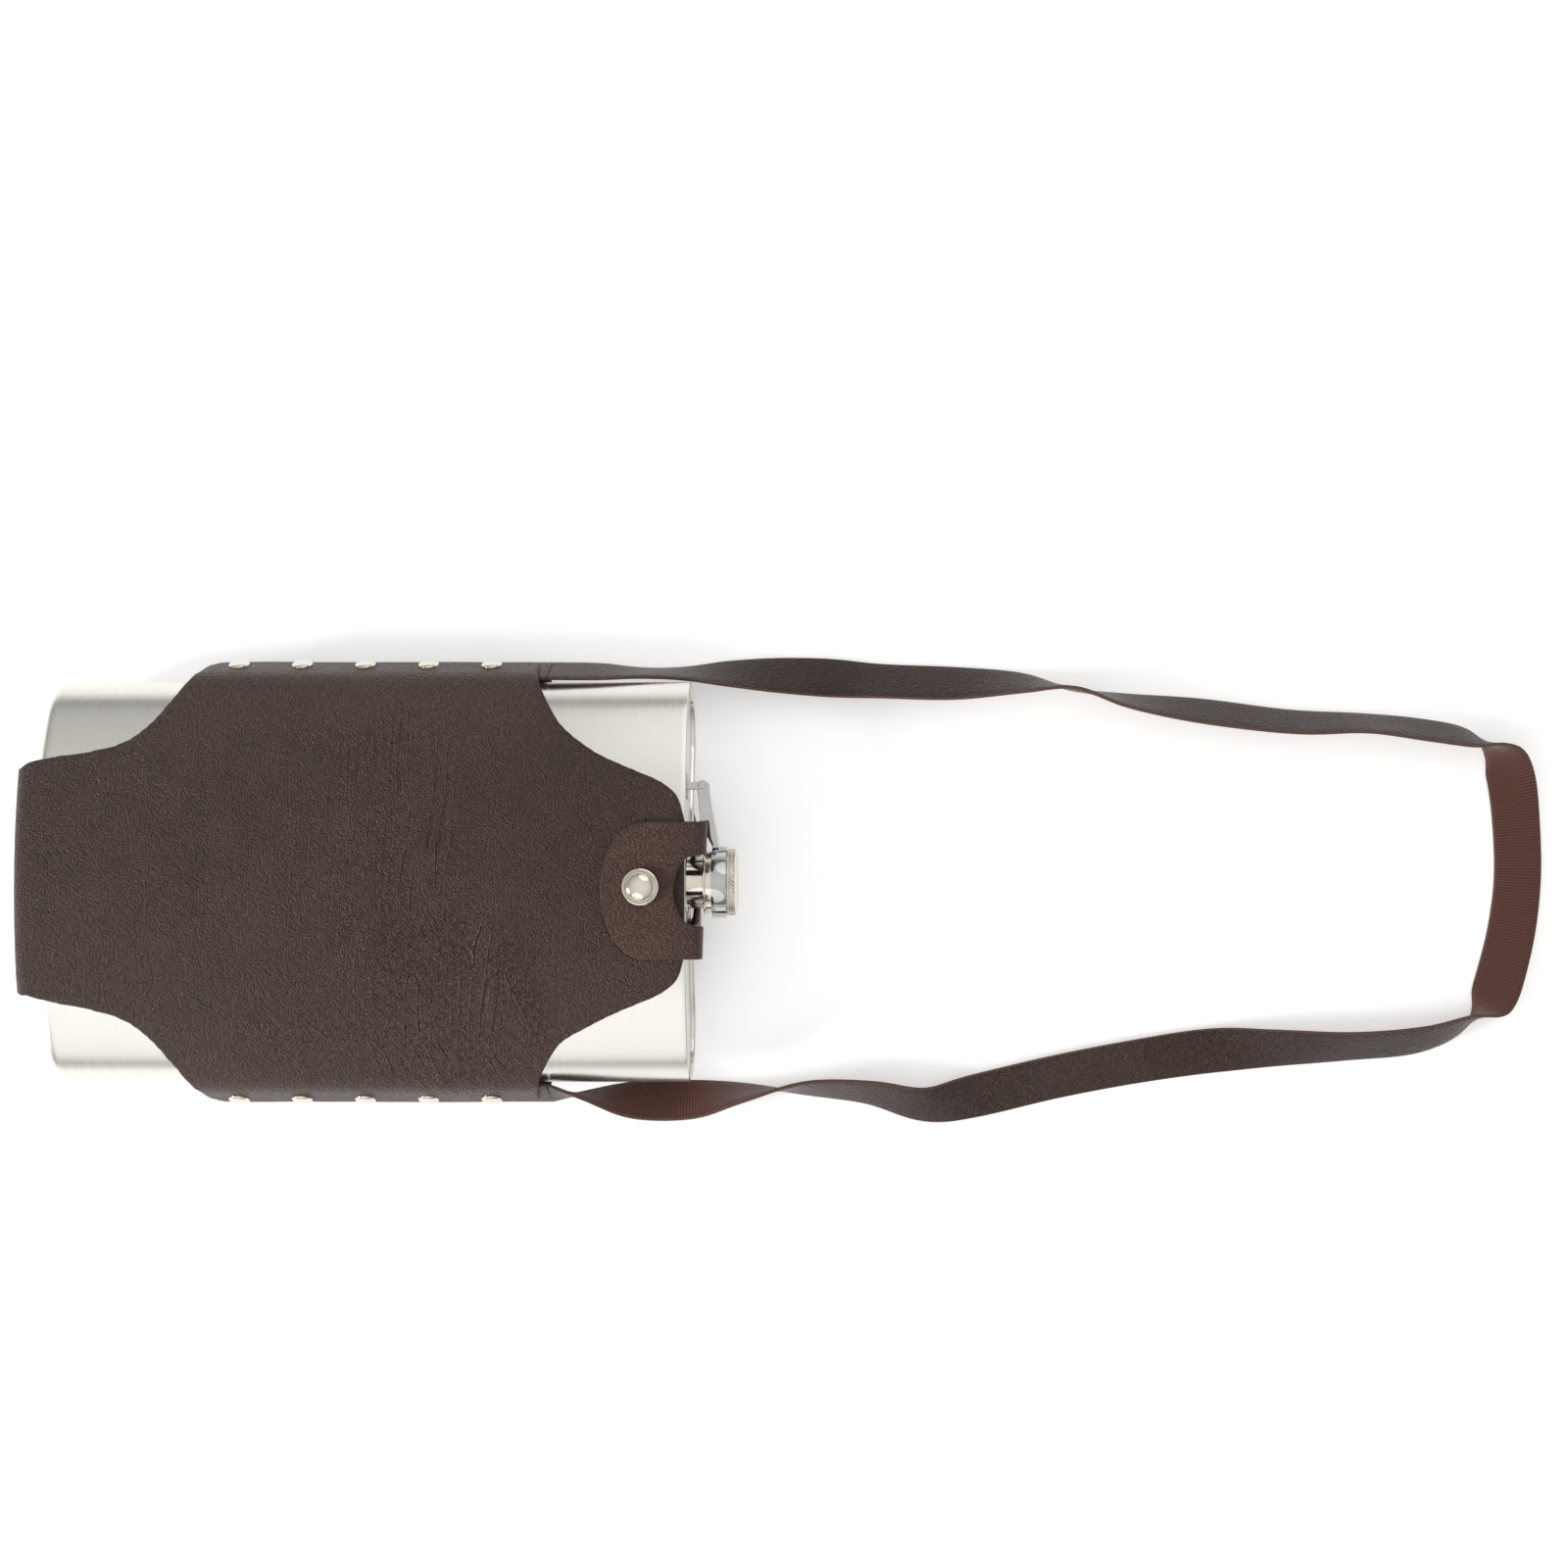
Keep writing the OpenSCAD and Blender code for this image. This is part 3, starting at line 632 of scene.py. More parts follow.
def weave_material():
    """Reddish brown ribbed webbing inside the strap. It reads the flat UV map, in metres"""
    c, pitch = colours().lining, sizes().weave
    s = Shader("woven_lining")
    uv = s.split(s.node("ShaderNodeUVMap", uv_map="flat").outputs["UV"])
    along = s.times(uv["X"], 2 * math.pi / pitch)
    across = s.times(uv["Y"], 2 * math.pi / (pitch * 0.55))
    rib = s.ramp(s.math("SINE", along), -1, 1, 0, 1, "LINEAR")
    over = s.math("SINE", s.plus(across, s.times(s.ramp(rib, 0.4, 0.6), math.pi)))
    thread = s.plus(s.times(rib, 0.7), s.times(s.ramp(over, -1, 1, 0, 1, "LINEAR"), 0.3))
    fuzz = s.noise(s.coords(), 2600, 3, 0.7)
    s.base(c, 0.45)
    s.tint(s.ramp(thread, 0.1, 0.9), c, 1.2)
    s.tint(s.ramp(fuzz, 0.35, 0.75, 0, 0.4), c, 1.7)
    s.bump(thread, 0.28 * MM)
    s.bump(fuzz, 0.05 * MM)
    return s.done(Roughness=0.85, Specular_IOR_Level=0.2, Sheen_Weight=0.35, Sheen_Roughness=0.4)


def backing_material():
    """The sleeve's inner side: matt felted cloth"""
    c = colours().lining
    s = Shader("sleeve_backing")
    fibre = s.noise(s.coords(), 1500, 4, 0.7)
    s.base(c, 0.5)
    s.tint(s.ramp(fibre, 0.3, 0.7), c)
    s.bump(fibre, 0.15 * MM)
    return s.done(Roughness=0.9, Specular_IOR_Level=0.15, Sheen_Weight=0.3)


def brushed_material(name="brushed_steel", rough=0.27):
    """Satin steel brushed across the canteen"""
    c = colours().steel
    s = Shader(name)
    hair = s.noise(s.coords(scale=(5200, 26, 60)), 1.0, 3, 0.65)
    band = s.noise(s.coords(scale=(900, 6, 12)), 1.0, 2, 0.5)
    smudge = s.noise(s.coords(), 14, 3, 0.6)
    s.base(c, 0.95)
    s.tint(s.ramp(hair, 0.25, 0.75), c, 1.03)
    s.tint(s.ramp(band, 0.3, 0.7, 0, 0.25), c, 0.95)
    s.bump(hair, 0.0025 * MM)
    return s.done(Metallic=1.0, Roughness=s.plus(
        s.ramp(hair, 0.2, 0.8, rough - 0.05, rough + 0.07, "LINEAR"),
        s.ramp(smudge, 0.3, 0.7, -0.02, 0.03, "LINEAR")))


def plated_material(name, c, rough):
    """Polished plate with faint wear"""
    s = Shader(name)
    haze = s.noise(s.coords(), 120, 3, 0.6)
    scratch = s.noise(s.coords(scale=(3, 0.2, 1), turn=(0, 0, 0.6)), 900, 2, 0.6)
    s.base(c)
    s.tint(s.ramp(haze, 0.3, 0.8, 0.0, 0.5), c, 0.88)
    s.bump(haze, 0.02 * MM)
    return s.done(Metallic=1.0, Roughness=s.plus(
        s.ramp(haze, 0.3, 0.8, rough, rough + 0.08, "LINEAR"), s.ramp(scratch, 0.62, 0.75, 0.0, 0.12)))


def rubber_material():
    s = Shader("gasket_rubber")
    speck = s.noise(s.coords(), 1800, 3, 0.6)
    s.base((0.012, 0.012, 0.012))
    s.tint(s.ramp(speck, 0.3, 0.7), (0.03, 0.03, 0.03))
    s.bump(speck, 0.02 * MM)
    return s.done(Roughness=0.65)


FINISHES = {}


def finish(name):
    """Each finish is made once, when it's first asked for"""
    makers = {
        "leather": leather_material,
        "strap_leather": lambda: leather_material("strap_leather", 0.9, "strap"),
        "flap_leather": lambda: leather_material("flap_leather", 1.6, "flap"),
        "edge": cut_edge_material,
        "lining": weave_material,
        "backing": backing_material,
        "steel": brushed_material,
        "end_steel": lambda: brushed_material("end_plate_steel", 0.22),
        "rim": lambda: plated_material("polished_rim", colours().steel, 0.12),
        "chrome": lambda: plated_material("polished_chrome", colours().chrome, 0.05),
        "nickel": lambda: plated_material("polished_nickel", colours().nickel, 0.09),
        "rubber": rubber_material,
    }
    if name not in FINISHES:
        FINISHES[name] = makers[name]()
    return FINISHES[name]


def refinish(node, name):
    """Gives a CAD node that stays a better finish"""
    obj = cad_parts[node]
    if not obj.material_slots:
        obj.data.materials.append(None)
    for s in obj.material_slots:
        s.material = finish(name)


# ---- stage -----------------------------------------------------------------------------------


class CANTEEN_OT_stage(bpy.types.Operator):
    """Adds the camera straight above, the pale lit floor and the soft lights"""
    bl_idname = "canteen.stage"
    bl_label = "Stage"

    def execute(self, context):
        scene = context.scene
        cam = bpy.data.cameras.new("camera")
        cam.lens, cam.sensor_width = 39.1, 36
        cam.shift_x, cam.shift_y = -0.028, 0.0625
        holder = bpy.data.objects.new("camera", cam)
        scene.collection.objects.link(holder)
        holder.location = (X_TOP + 58 * MM, 0, 749.5 * MM)
        scene.camera = holder
        deselect()
        bpy.ops.mesh.primitive_plane_add(size=40, location=(0.1, 0, 0))
        floor = context.object
        floor.name = "floor"
        s, c = Shader("pale_floor"), colours().floor
        s.base(c)
        s.tint(s.ramp(s.noise(s.coords(), 3, 2, 0.5), 0.3, 0.7, 0, 0.3), c, 0.98)
        floor.data.materials.append(s.done(
            Roughness=0.6, Specular_IOR_Level=0.2, Emission_Color=(1, 1, 1, 1), Emission_Strength=0.36))
        world = bpy.data.worlds.new("room")
        scene.world = world
        world.use_nodes = True
        tree = world.node_tree
        # The room is bright overhead, dim above the walls' foot and pale at the horizon
        way = tree.nodes.new("ShaderNodeTexCoord")
        split = tree.nodes.new("ShaderNodeSeparateXYZ")
        tree.links.new(way.outputs["Generated"], split.inputs[0])
        fade = tree.nodes.new("ShaderNodeValToRGB")
        tree.links.new(split.outputs["Z"], fade.inputs["Fac"])
        stops = fade.color_ramp.elements
        stops[0].position, stops[1].position = 0.13, 1.0
        stops.new(0.28)
        for stop, level in zip(stops, (0.85, 0.24, 0.97)):
            stop.color = (level, level * 0.99, level * 0.965, 1)
        tree.links.new(fade.outputs["Color"], tree.nodes["Background"].inputs["Color"])
        for name, at, size, power, tint in (
                ("key", (-0.35, -1.3, 1.25), 1.6, 4.5, (1, 0.99, 0.965)),
                ("fill", (0.55, 1.35, 1.3), 1.5, 3.8, (1, 0.99, 0.975)),
                ("side", (-1.35, -0.45, 0.8), 0.4, 17, (1, 0.99, 0.975))):
            light = bpy.data.lights.new(name, "AREA")
            light.shape, light.size, light.energy, light.color = "DISK", size, power, tint
            lamp = bpy.data.objects.new(name, light)
            scene.collection.objects.link(lamp)
            lamp.location = at
            lamp.rotation_mode = "QUATERNION"
            lamp.rotation_quaternion = (Vector((0.1, 0, 0.02)) - Vector(at)).to_track_quat("-Z", "Y")
        scene.view_settings.view_transform = "Standard"
        return {"FINISHED"}


# ---- strap -----------------------------------------------------------------------------------

# The loose strap's route: middle of the band in metres, and its lean from upright in degrees
STRAP_ROUTE = [[p[0] * MM, p[1] * MM, p[2] * MM, p[3]] for p in (
    (68, 89.5, 27, 26), (88, 89.5, 25, 25), (106, 89.5, 20, 17), (124, 90, 14.5, 21), (143, 90.5, 9.4, 40),
    (164, 90, 7.6, 56), (186, 89, 6.6, 62), (208, 87.5, 7.7, 53), (240, 86.5, 7.7, 51), (270, 86.5, 10.1, 31),
    (292, 84, 10.8, 4), (316, 78.5, 10.6, 21), (350, 74, 9.5, 37), (388, 69.5, 9.6, 35), (418, 69, 10.2, 27),
    (445, 66, 9.9, 31), (465, 62.5, 10.2, 27), (475, 58, 10.5, -6), (482, 50, 6.5, -52), (486.5, 36, 2.5, -79),
    (488.5, 6, 1.5, -86), (486, -18, 2, -82), (481, -38, 3.5, -74), (475, -51, 7, -50), (465, -60, 10.4, 17),
    (444, -68.5, 9.4, 38), (412, -71.5, 9.1, 41), (378, -72.5, 6.7, 58), (352, -74, 3.2, 81),
    (318, -79, 3.6, 77), (284, -85.5, 4, 74), (250, -93.5, 4.4, 73), (228, -97, 7.4, 53),
    (204, -91.5, 9.5, 37), (176, -89.5, 10.4, 23), (148, -91.5, 10.7, -17), (126, -94.5, 9.3, -49),
    (104, -94, 14, -47), (84, -91, 22.5, -6), (68, -89.5, 27, 26))]


STRAP_COLS = 7       # points across the strap's outer side, and across its inner side


def strap_profile(width, thickness):
    """The strap's cross section as (across, out): leather outside, webbing inside, soft edges"""
    w, t = width / 2, thickness / 2
    crown = [(w - 0.5 * MM) * (1 - 2 * i / (STRAP_COLS - 1)) for i in range(STRAP_COLS)]
    outer = [(x, t * (1 - 0.18 * (x / w) ** 4)) for x in crown]
    inner = [(x * 0.985, -t * (1 - 0.12 * (x / w) ** 4)) for x in reversed(crown)]
    left = [(-w, t * 0.45), (-w * 0.997, -t * 0.35)]
    return outer + left + inner + [(-x, o) for x, o in reversed(left)]


def strap_mesh(name, centres, frames, materials):
    """Sweeps the strap's section along centres; frames hold (across, out) at each"""
    profile = strap_profile(sizes().strap_w, sizes().strap_t)
    n = len(profile)
    # Leather outside, webbing inside, cut edge between them
    slots = [0] * (STRAP_COLS - 1) + [2] * 3 + [1] * (STRAP_COLS - 1) + [2] * 3
    bm = bmesh.new()
    uv = bm.loops.layers.uv.new("flat")
    rings, lengths = [], [0.0]
    for a, b in zip(centres, centres[1:]):
        lengths.append(lengths[-1] + (b - a).length)
    for c, (across, out) in zip(centres, frames):
        rings.append([bm.verts.new(c + across * a + out * o) for a, o in profile])
    for i in range(len(rings) - 1):
        for k in range(n):
            corners = ((i, k), (i + 1, k), (i + 1, (k + 1) % n), (i, (k + 1) % n))
            f = bm.faces.new([rings[ring][j] for ring, j in corners])
            f.material_index = slots[k]
            for loop, (ring, j) in zip(f.loops, corners):
                loop[uv].uv = (lengths[ring], profile[j][0])
    for ring in (rings[0], rings[-1]):
        bm.faces.new(ring).material_index = 2
    obj = new_piece(name, bm, materials)
    tidy(obj, 0.001 * MM)
    return smooth(obj, 50)


def strap_frames(steps):
    """Centres of the loose strap's rings and the way it faces at each"""
    half_w, half_t = sizes().strap_w / 2, sizes().strap_t / 2
    pts = catmull(STRAP_ROUTE, steps)
    last = len(pts) - 1
    centres, frames = [], []
    for i, p in enumerate(pts):
        a, b = pts[max(i - 1, 0)], pts[min(i + 1, last)]
        ahead = Vector((b[0] - a[0], b[1] - a[1], 0)).normalized()
        inward = Vector((ahead.y, -ahead.x, 0))
        # The lean wavers by up to 5 degrees, and less and less towards the two ends
        ease = math.sin(math.pi * min(1, 6 * i / len(pts), 6 * (last - i) / len(pts)) / 2)
        lean = math.radians(p[3] + 5 * ease * ripple(i * 0.035, 3.1, 0))
        across = math.cos(lean) * Vector((0, 0, 1)) + math.sin(lean) * inward
        out = math.sin(lean) * Vector((0, 0, 1)) - math.cos(lean) * inward
        centres.append(Vector(p[:3]))
        frames.append((across, out))

    def lifted(gap):
        """The centres, raised where the strap would be less than gap above the floor"""
        return [Vector((c.x, c.y, max(c.z, half_w * abs(across.z) + half_t * abs(out.z) + gap)))
                for c, (across, out) in zip(centres, frames)]

    centres = lifted(0.05 * MM)
    for _ in range(2):
        inner = [(a + 2 * b + c) / 4 for a, b, c in zip(centres, centres[1:], centres[2:])]
        centres = [centres[0]] + inner + [centres[-1]]
    return lifted(0.03 * MM), frames


class CANTEEN_OT_strap(bpy.types.Operator):
    """Makes the loose shoulder strap and its two riveted ends"""
    bl_idname = "canteen.strap"
    bl_label = "Shoulder strap"

    def execute(self, context):
        s, section = sizes(), Section()
        materials = [finish("strap_leather"), finish("lining"), finish("edge")]
        centres, frames = strap_frames(9)
        strap = strap_mesh("strap", centres, frames, materials)
        settle(strap, "canteen", "leather", "shoulder_strap")
        middle = section.seam(section.seam_strap, s.strap_w / 2 - 1 * MM)
        up, away = -section.down, section.out
        parts = 40
        for side, name in ((1, "strap_end_left"), (-1, "strap_end_right")):
            low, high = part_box(name)
            line = [Vector((low.x + (high.x - low.x) * i / parts, side * middle.x, middle.y))
                    for i in range(parts + 1)]
            facing = (Vector((0, side * up.x, up.y)), Vector((0, side * away.x, away.y)))
            end = strap_mesh(name, line, [facing] * len(line), materials)
            settle(end, "canteen", "leather", name)
        return {"FINISHED"}


# ---- steel -----------------------------------------------------------------------------------


def section_ring(section, off):
    """Points (y, z) round the flask's section, grown outwards by off"""
    a, end_r = section.bend_a, section.end_r + off
    pts = []
    for count, start, turn, r, y, z in (
            (44, -a, 2 * a, section.front_r + off, 0, section.bend_z),
            (22, a, math.pi, end_r, section.end_y, section.end_z),
            (44, a, -2 * a, section.back_r - off, 0, section.bend_z),
            (22, math.pi - a, math.pi, end_r, -section.end_y, section.end_z)):
        for i in range(count):
            t = start + turn * i / count
            pts.append((y + r * math.sin(t), z + r * math.cos(t)))
    return pts


class CANTEEN_OT_flask(bpy.types.Operator):
    """Makes the brushed shell with its rounded base, which stands in for the base plate, and polished top rim,
    and finishes the top plate
    """
    bl_idname = "canteen.flask"
    bl_label = "Flask"

    def execute(self, context):
        section, r = Section(), sizes().base_round
        rim, wall = 0.55 * MM, 1.1 * MM
        # (place along X, inset of the section): the base and its step, the outside, the top rim, the inside
        path = [(X_BASE + x * MM, -r - inset * MM) for x, inset in ((1.2, 1.7), (0.35, 1.3), (0, 0.6))]
        path += arc(X_BASE + r, -r, -r, r, range(0, 90, 12)) + [(X_BASE + r + 1 * MM, 0)]
        start, run, parts = X_BASE + r + 2 * MM, X_TOP - X_BASE - r - 6 * MM, 24
        path += [(start + run * i / parts, 0) for i in range(parts + 1)] + [(X_TOP - 2.4 * MM, 0)]
        path += arc(X_TOP - rim, -rim, rim, rim, (90, 68, 45, 22, 0))
        path += [(X_TOP - x * MM, -inset * MM) for x, inset in ((0, 1.1), (0.3, 1.4), (1.6, 1.5), (3, 1.5))]
        path += [(X_TOP - 3.4 * MM, -wall), (X_TOP - 20 * MM, -wall), (start, -wall),
                 (X_BASE + 2.6 * MM, -r - 1 * MM)]
        rings = [[(x, y, z) for y, z in section_ring(section, off)] for x, off in path]
        first_rim = next(i for i, p in enumerate(path) if p[0] > X_TOP - rim)
        shell = swept("flask_shell", rings, [finish("steel"), finish("rim")], first_rim)
        tidy(shell, 0.0005 * MM)
        smooth(shell, 50)
        settle(shell, "canteen", "steel", "flask_body", "base_plate")
        refinish("top_plate", "end_steel")
        return {"FINISHED"}


class CANTEEN_OT_neck(bpy.types.Operator):
    """Rounds the edges of the neck, hinge bracket, pin, arm and retaining ring"""
    bl_idname = "canteen.neck"
    bl_label = "Neck and arm"

    def execute(self, context):
        for node, name, plate, edge, body in (
                ("neck", "neck_turned", "nickel", 0.18, "canteen"),
                ("hinge_bracket", "bracket", "chrome", 0.25, "canteen"),
                ("hinge_pin", "pin", "chrome", 0.2, "canteen"),
                ("cap_arm", "arm_pressed", "chrome", 0.3, "arm"),
                ("cap_retainer", "retaining_ring", "nickel", 0.25, "retainer")):
            settle(refined(node, name, finish(plate), edge * MM), body, plate, node)
        return {"FINISHED"}


class CANTEEN_OT_cap(bpy.types.Operator):
    """Turns the screw cap, with its diamond knurl, and finishes the gasket"""
    bl_idname = "canteen.cap"
    bl_label = "Screw cap"

    def execute(self, context):
        s = sizes()
        x0, x1, r_top = CAP_LOW.x, CAP_HIGH.x, CAP_HIGH.y
        r_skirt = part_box("cap_retainer")[1].y - 1 * MM
        step = x1 - 3.7 * MM
        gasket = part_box("cap_gasket")[1]
        seat, r_in = gasket.x, gasket.y + 0.1 * MM
        skirt = lathe("cap_skirt", [
            (r_in, seat), (r_in, x0 + 0.3 * MM), (r_in + 0.2 * MM, x0), (r_skirt - 0.2 * MM, x0),
            (r_skirt, x0 + 0.2 * MM), (r_skirt, step), (r_skirt - 1 * MM, step + 0.4 * MM),
            (0, step + 0.4 * MM), (0, seat), (r_in, seat)], (0, 0, NECK_Z), (1, 0, 0), finish("nickel"))
        # The knurled top: rings of fine steps whose radius follows two crossing threads. Each row is a
        # place along X, a radius and whether the knurl cuts it.
        steps_each, rows = 6, 20
        around = s.knurls * steps_each
        low, high = step + 0.45 * MM, x1 - 0.55 * MM
        rings = [(step + 0.05 * MM, r_top - 0.5 * MM, 0), (step + 0.25 * MM, r_top - 0.12 * MM, 0)]
        rings += [(low + (high - low) * i / rows, r_top, 1) for i in range(rows + 1)]
        rings += [(x1 - x * MM, r_top - r * MM, 0) for x, r in (
            (0.35, 0.12), (0.12, 0.4), (0, 0.8), (0, 1.6), (0.25, 2.0), (0.25, 6))]
        pitch = 2 * math.pi * r_top / s.knurls

        def knurl_ring(x, r, cut):
            ring = []
            for k in range(around):
                t = 2 * math.pi * k / around
                one = (k / steps_each + x / pitch) % 1
                two = (k / steps_each - x / pitch) % 1
                ridge = min(abs(one - 0.5), abs(two - 0.5)) * 2
                at = r - cut * s.knurl_depth * (1 - ridge)
                ring.append((x, at * math.sin(t), NECK_Z + at * math.cos(t)))
            return ring

        knurl = swept("cap_knurl", [knurl_ring(*p) for p in rings], [finish("nickel")])
        tidy(knurl, 0.0005 * MM)
        smooth(knurl, 22)
        settle(skirt, "cap", "nickel", "screw_cap")
        settle(knurl, "cap", "nickel")
        refinish("cap_gasket", "rubber")
        return {"FINISHED"}


# ---- leather ---------------------------------------------------------------------------------

# Half outlines in millimetres: distance from the flask's top end and half width, from the top end to the base
WAIST = [(8.5, 42.1), (13.4, 44.8), (20.8, 47.9), (28.2, 51), (35.6, 54.5), (40.7, 57.4), (48.2, 62.3),
         (53.4, 67.1)]
PANEL_TOP = [(0, 22), (0, 26), (1, 30.3), (3.5, 37.4)] + WAIST + [(58.6, 75.5), (62, 82.5), (63.7, 87.5)]
FLAP_ROOT = [(0, 28), (3.5, 37.4)] + WAIST + [(58.6, 74.5), (62, 80)]
TAPER = [(213.7, 74.8), (220, 65.8), (227.2, 59), (234.5, 55.3), (242.2, 53.2), (250, 51.5), (258, 50.3),
         (265.6, 48.6)]
PANEL_BASE = [(205.2, 87.6), (207.4, 84.4)] + TAPER
BACK_BASE = [(204, 82.5), (208, 79)] + TAPER
# The front panel's edge round the fold at the base: share of the fold, and millimetres past the strip's side
FOLD_EDGE = [(0.05, 1.2), (0.3, 0.9), (0.6, -0.1), (1, -1.7)]


def half_outline(section, panel, top, base, edge_u):
    """One side of a panel's flat outline as (distance from the top end, distance from the centre line)"""
    def flat(points):
        return [(v * MM, section.reach(panel, y * MM)) for v, y in points]
    seam0, seam1 = X_TOP - (SEAM_X0 - SEAM_SHIFT), X_TOP - (SEAM_X1 - SEAM_SHIFT)
    near, far = 4 * MM, 11 * MM
    wing = arc(seam1 + near, edge_u - near, -near, near, range(0, 91, 15))
    wing += arc(seam0 - far, edge_u - far, far, far, range(90, -1, -15))
    return catmull(flat(top), 5) + wing + catmull(flat(base), 5)


def mirrored(side):
    return side + [(v, -u) for v, u in reversed(side)]


def top_shift(x):
    """The closed flap pulls the sleeve's top end a little to one side"""
    near = clamp((62 * MM - (X_TOP - x)) / (26 * MM))
    return 0.66 * FLAP_Y * near * near * (3 - 2 * near)


def relief(x, y):
    """Slow waves in the leather, in metres"""
    return (0.28 * ripple(x * 14, y * 22, 1.7) + 0.14 * ripple(x * 55, y * 20, 4.2)) * MM


def bow(y):
    """How far the strip at the base stands off: most in the middle, and a little more on one side"""
    side = y / BASE_HALF
    return max(0.0, 1.3 * MM * (1 - side ** 2) + 0.5 * MM * side)


class CANTEEN_OT_sleeve(bpy.types.Operator):
    """Makes the sleeve: the front panel with its curled fold round the base, and the back panel"""
    bl_idname = "canteen.sleeve"
    bl_label = "Leather sleeve"

    def execute(self, context):
        s, section = sizes(), Section()
        materials = [finish("leather"), finish("backing"), finish("edge")]
        half = s.leather_t / 2
        x_strip = X_SLEEVE + half

        # The front panel, down to the foot of the strip that closes the base
        r = s.fold_r - half
        fold_at, fold_len, drop = X_TOP - (x_strip + r), r * math.pi / 2, 42 * MM
        v_end = fold_at + fold_len + drop
        foot = s.leather_t + 4 * MM

        def front_place(v, u):
            x = X_TOP - v
            p, n = section.front(u)
            wave = relief(x, p.x) * min(1, v / (20 * MM))
            flare = max(0.0, abs(u) - section.arc_len) / (30 * MM)
            lift = max(0.0, wave + 0.18 * MM) + 0.5 * MM * flare * max(0.0, ripple(x * 30, 2, 9))
            skew = 1.1 * MM * clamp((v - 220 * MM) / (50 * MM))
            if v <= fold_at:
                return Vector((x, p.x + top_shift(x) + skew + n.x * lift, p.y + n.y * lift))
            y = min(max(u + skew * (1 - min(1.0, (v - fold_at) / fold_len)), -BASE_HALF), BASE_HALF)
            top = section.front_z(min(abs(y), 60 * MM)) - r
            if v <= fold_at + fold_len:
                t = (v - fold_at) / r
                return Vector((x_strip + r + (bow(y) - r) * math.sin(t), y, top + (r + lift) * math.cos(t)))
            share = (v - fold_at - fold_len) / drop
            belly = 0.5 * MM * math.sin(math.pi * share)
            return Vector((x_strip + belly + bow(y) * (1 - share), y, top * (1 - share) + foot * share))

        edge_u = section.arc_len + section.shoulder_len + s.seam_w
        side = half_outline(section, section.front, PANEL_TOP, PANEL_BASE, edge_u)
        side += [(fold_at + fold_len * q, BASE_HALF + w * MM) for q, w in FOLD_EDGE]
        side += [(v_end - 1 * MM, BASE_HALF - 1.9 * MM), (v_end, BASE_HALF - 2.9 * MM)]
        sheet = flat_sheet(mirrored(side), 2.9 * MM)
        front_area = sum(f.calc_area() for f in sheet.faces)
        front = leather_piece("leather_front", sheet, front_place, s.leather_t, materials, False)

        # The back panel, whose end turns up outside the strip
        r_low = 4 * MM
        x_flat = x_strip + r_low
        v_flat, turn_up = X_TOP - x_flat, r_low * math.pi / 2

        def back_place(v, u):
            x = X_TOP - v
            if x >= x_flat:
                p, n = section.back(u)
                lift = 0.25 * MM * max(0.0, ripple(x * 16, p.x * 22, 7)) if p.y > 3 * MM else 0
                return Vector((x, p.x + n.x * lift, p.y + n.y * lift))
            t = min((x_flat - x) / r_low, math.pi / 2)
            return Vector((x_flat - r_low * math.sin(t), u, half + r_low * (1 - math.cos(t))))

        back_edge = section.heel.x + section.heel_len + (s.seam_w + 4 * MM)
        side = half_outline(section, section.back, FLAP_ROOT, BACK_BASE, back_edge)
        side += [(v_flat, BASE_HALF + 0.3 * MM), (v_flat + turn_up - 0.4 * MM, BASE_HALF)]
        sheet = flat_sheet(mirrored(side), 3.2 * MM)
        back_area = sum(f.calc_area() for f in sheet.faces)
        back = leather_piece("leather_back", sheet, back_place, s.leather_t, materials, True)
        settle(front, "canteen", "leather", "sleeve_front", "sleeve_base")
        settle(back, "canteen", "leather", "sleeve_back")
        return {"FINISHED"}


# The flap's side view at its centre line, in millimetres: distance past the flask's top end, and height.
# The heights above the bend are counted down from the tongue's middle.
FLAP_LOW = [(-1.5, 0.9), (0.4, 1.1), (1.5, 3.0), (1.65, 8), (1.65, 20), (1.65, 32), (1.8, 40)]
FLAP_FOLD = [(2.5, -15.5), (4.2, -10.8), (6.2, -6.8), (7.2, -3.6), (6.7, -1.0), (4.8, 0.55), (1.8, 0.5),
             (-3, 0.1), (-10, 0), (-22, 0), (-34.2, 0)]


def flap_line(section):
    """The flap's side view as (distance along it, x, z), and the radius of its middle over the front"""
    over = section.panel_r + 1.9 * MM
    top = section.bend_z + over
    points = [(x * MM, z * MM) for x, z in FLAP_LOW] + [(x * MM, top + z * MM) for x, z in FLAP_FOLD]
    line = catmull(points, 12)
    run, out = 0.0, []
    for before, p in zip(line[:1] + line, line):
        run += math.dist(p, before)
        out.append((run, X_TOP + p[0], p[1]))
    return out, over


def along(line, q):
    """Interpolates the side view at distance q"""
    for (qa, xa, za), (qb, xb, zb) in zip(line, line[1:]):
        if q <= qb:
            t = (q - qa) / (qb - qa)
            return xa + (xb - xa) * t, za + (zb - za) * t
    return line[-1][1:]


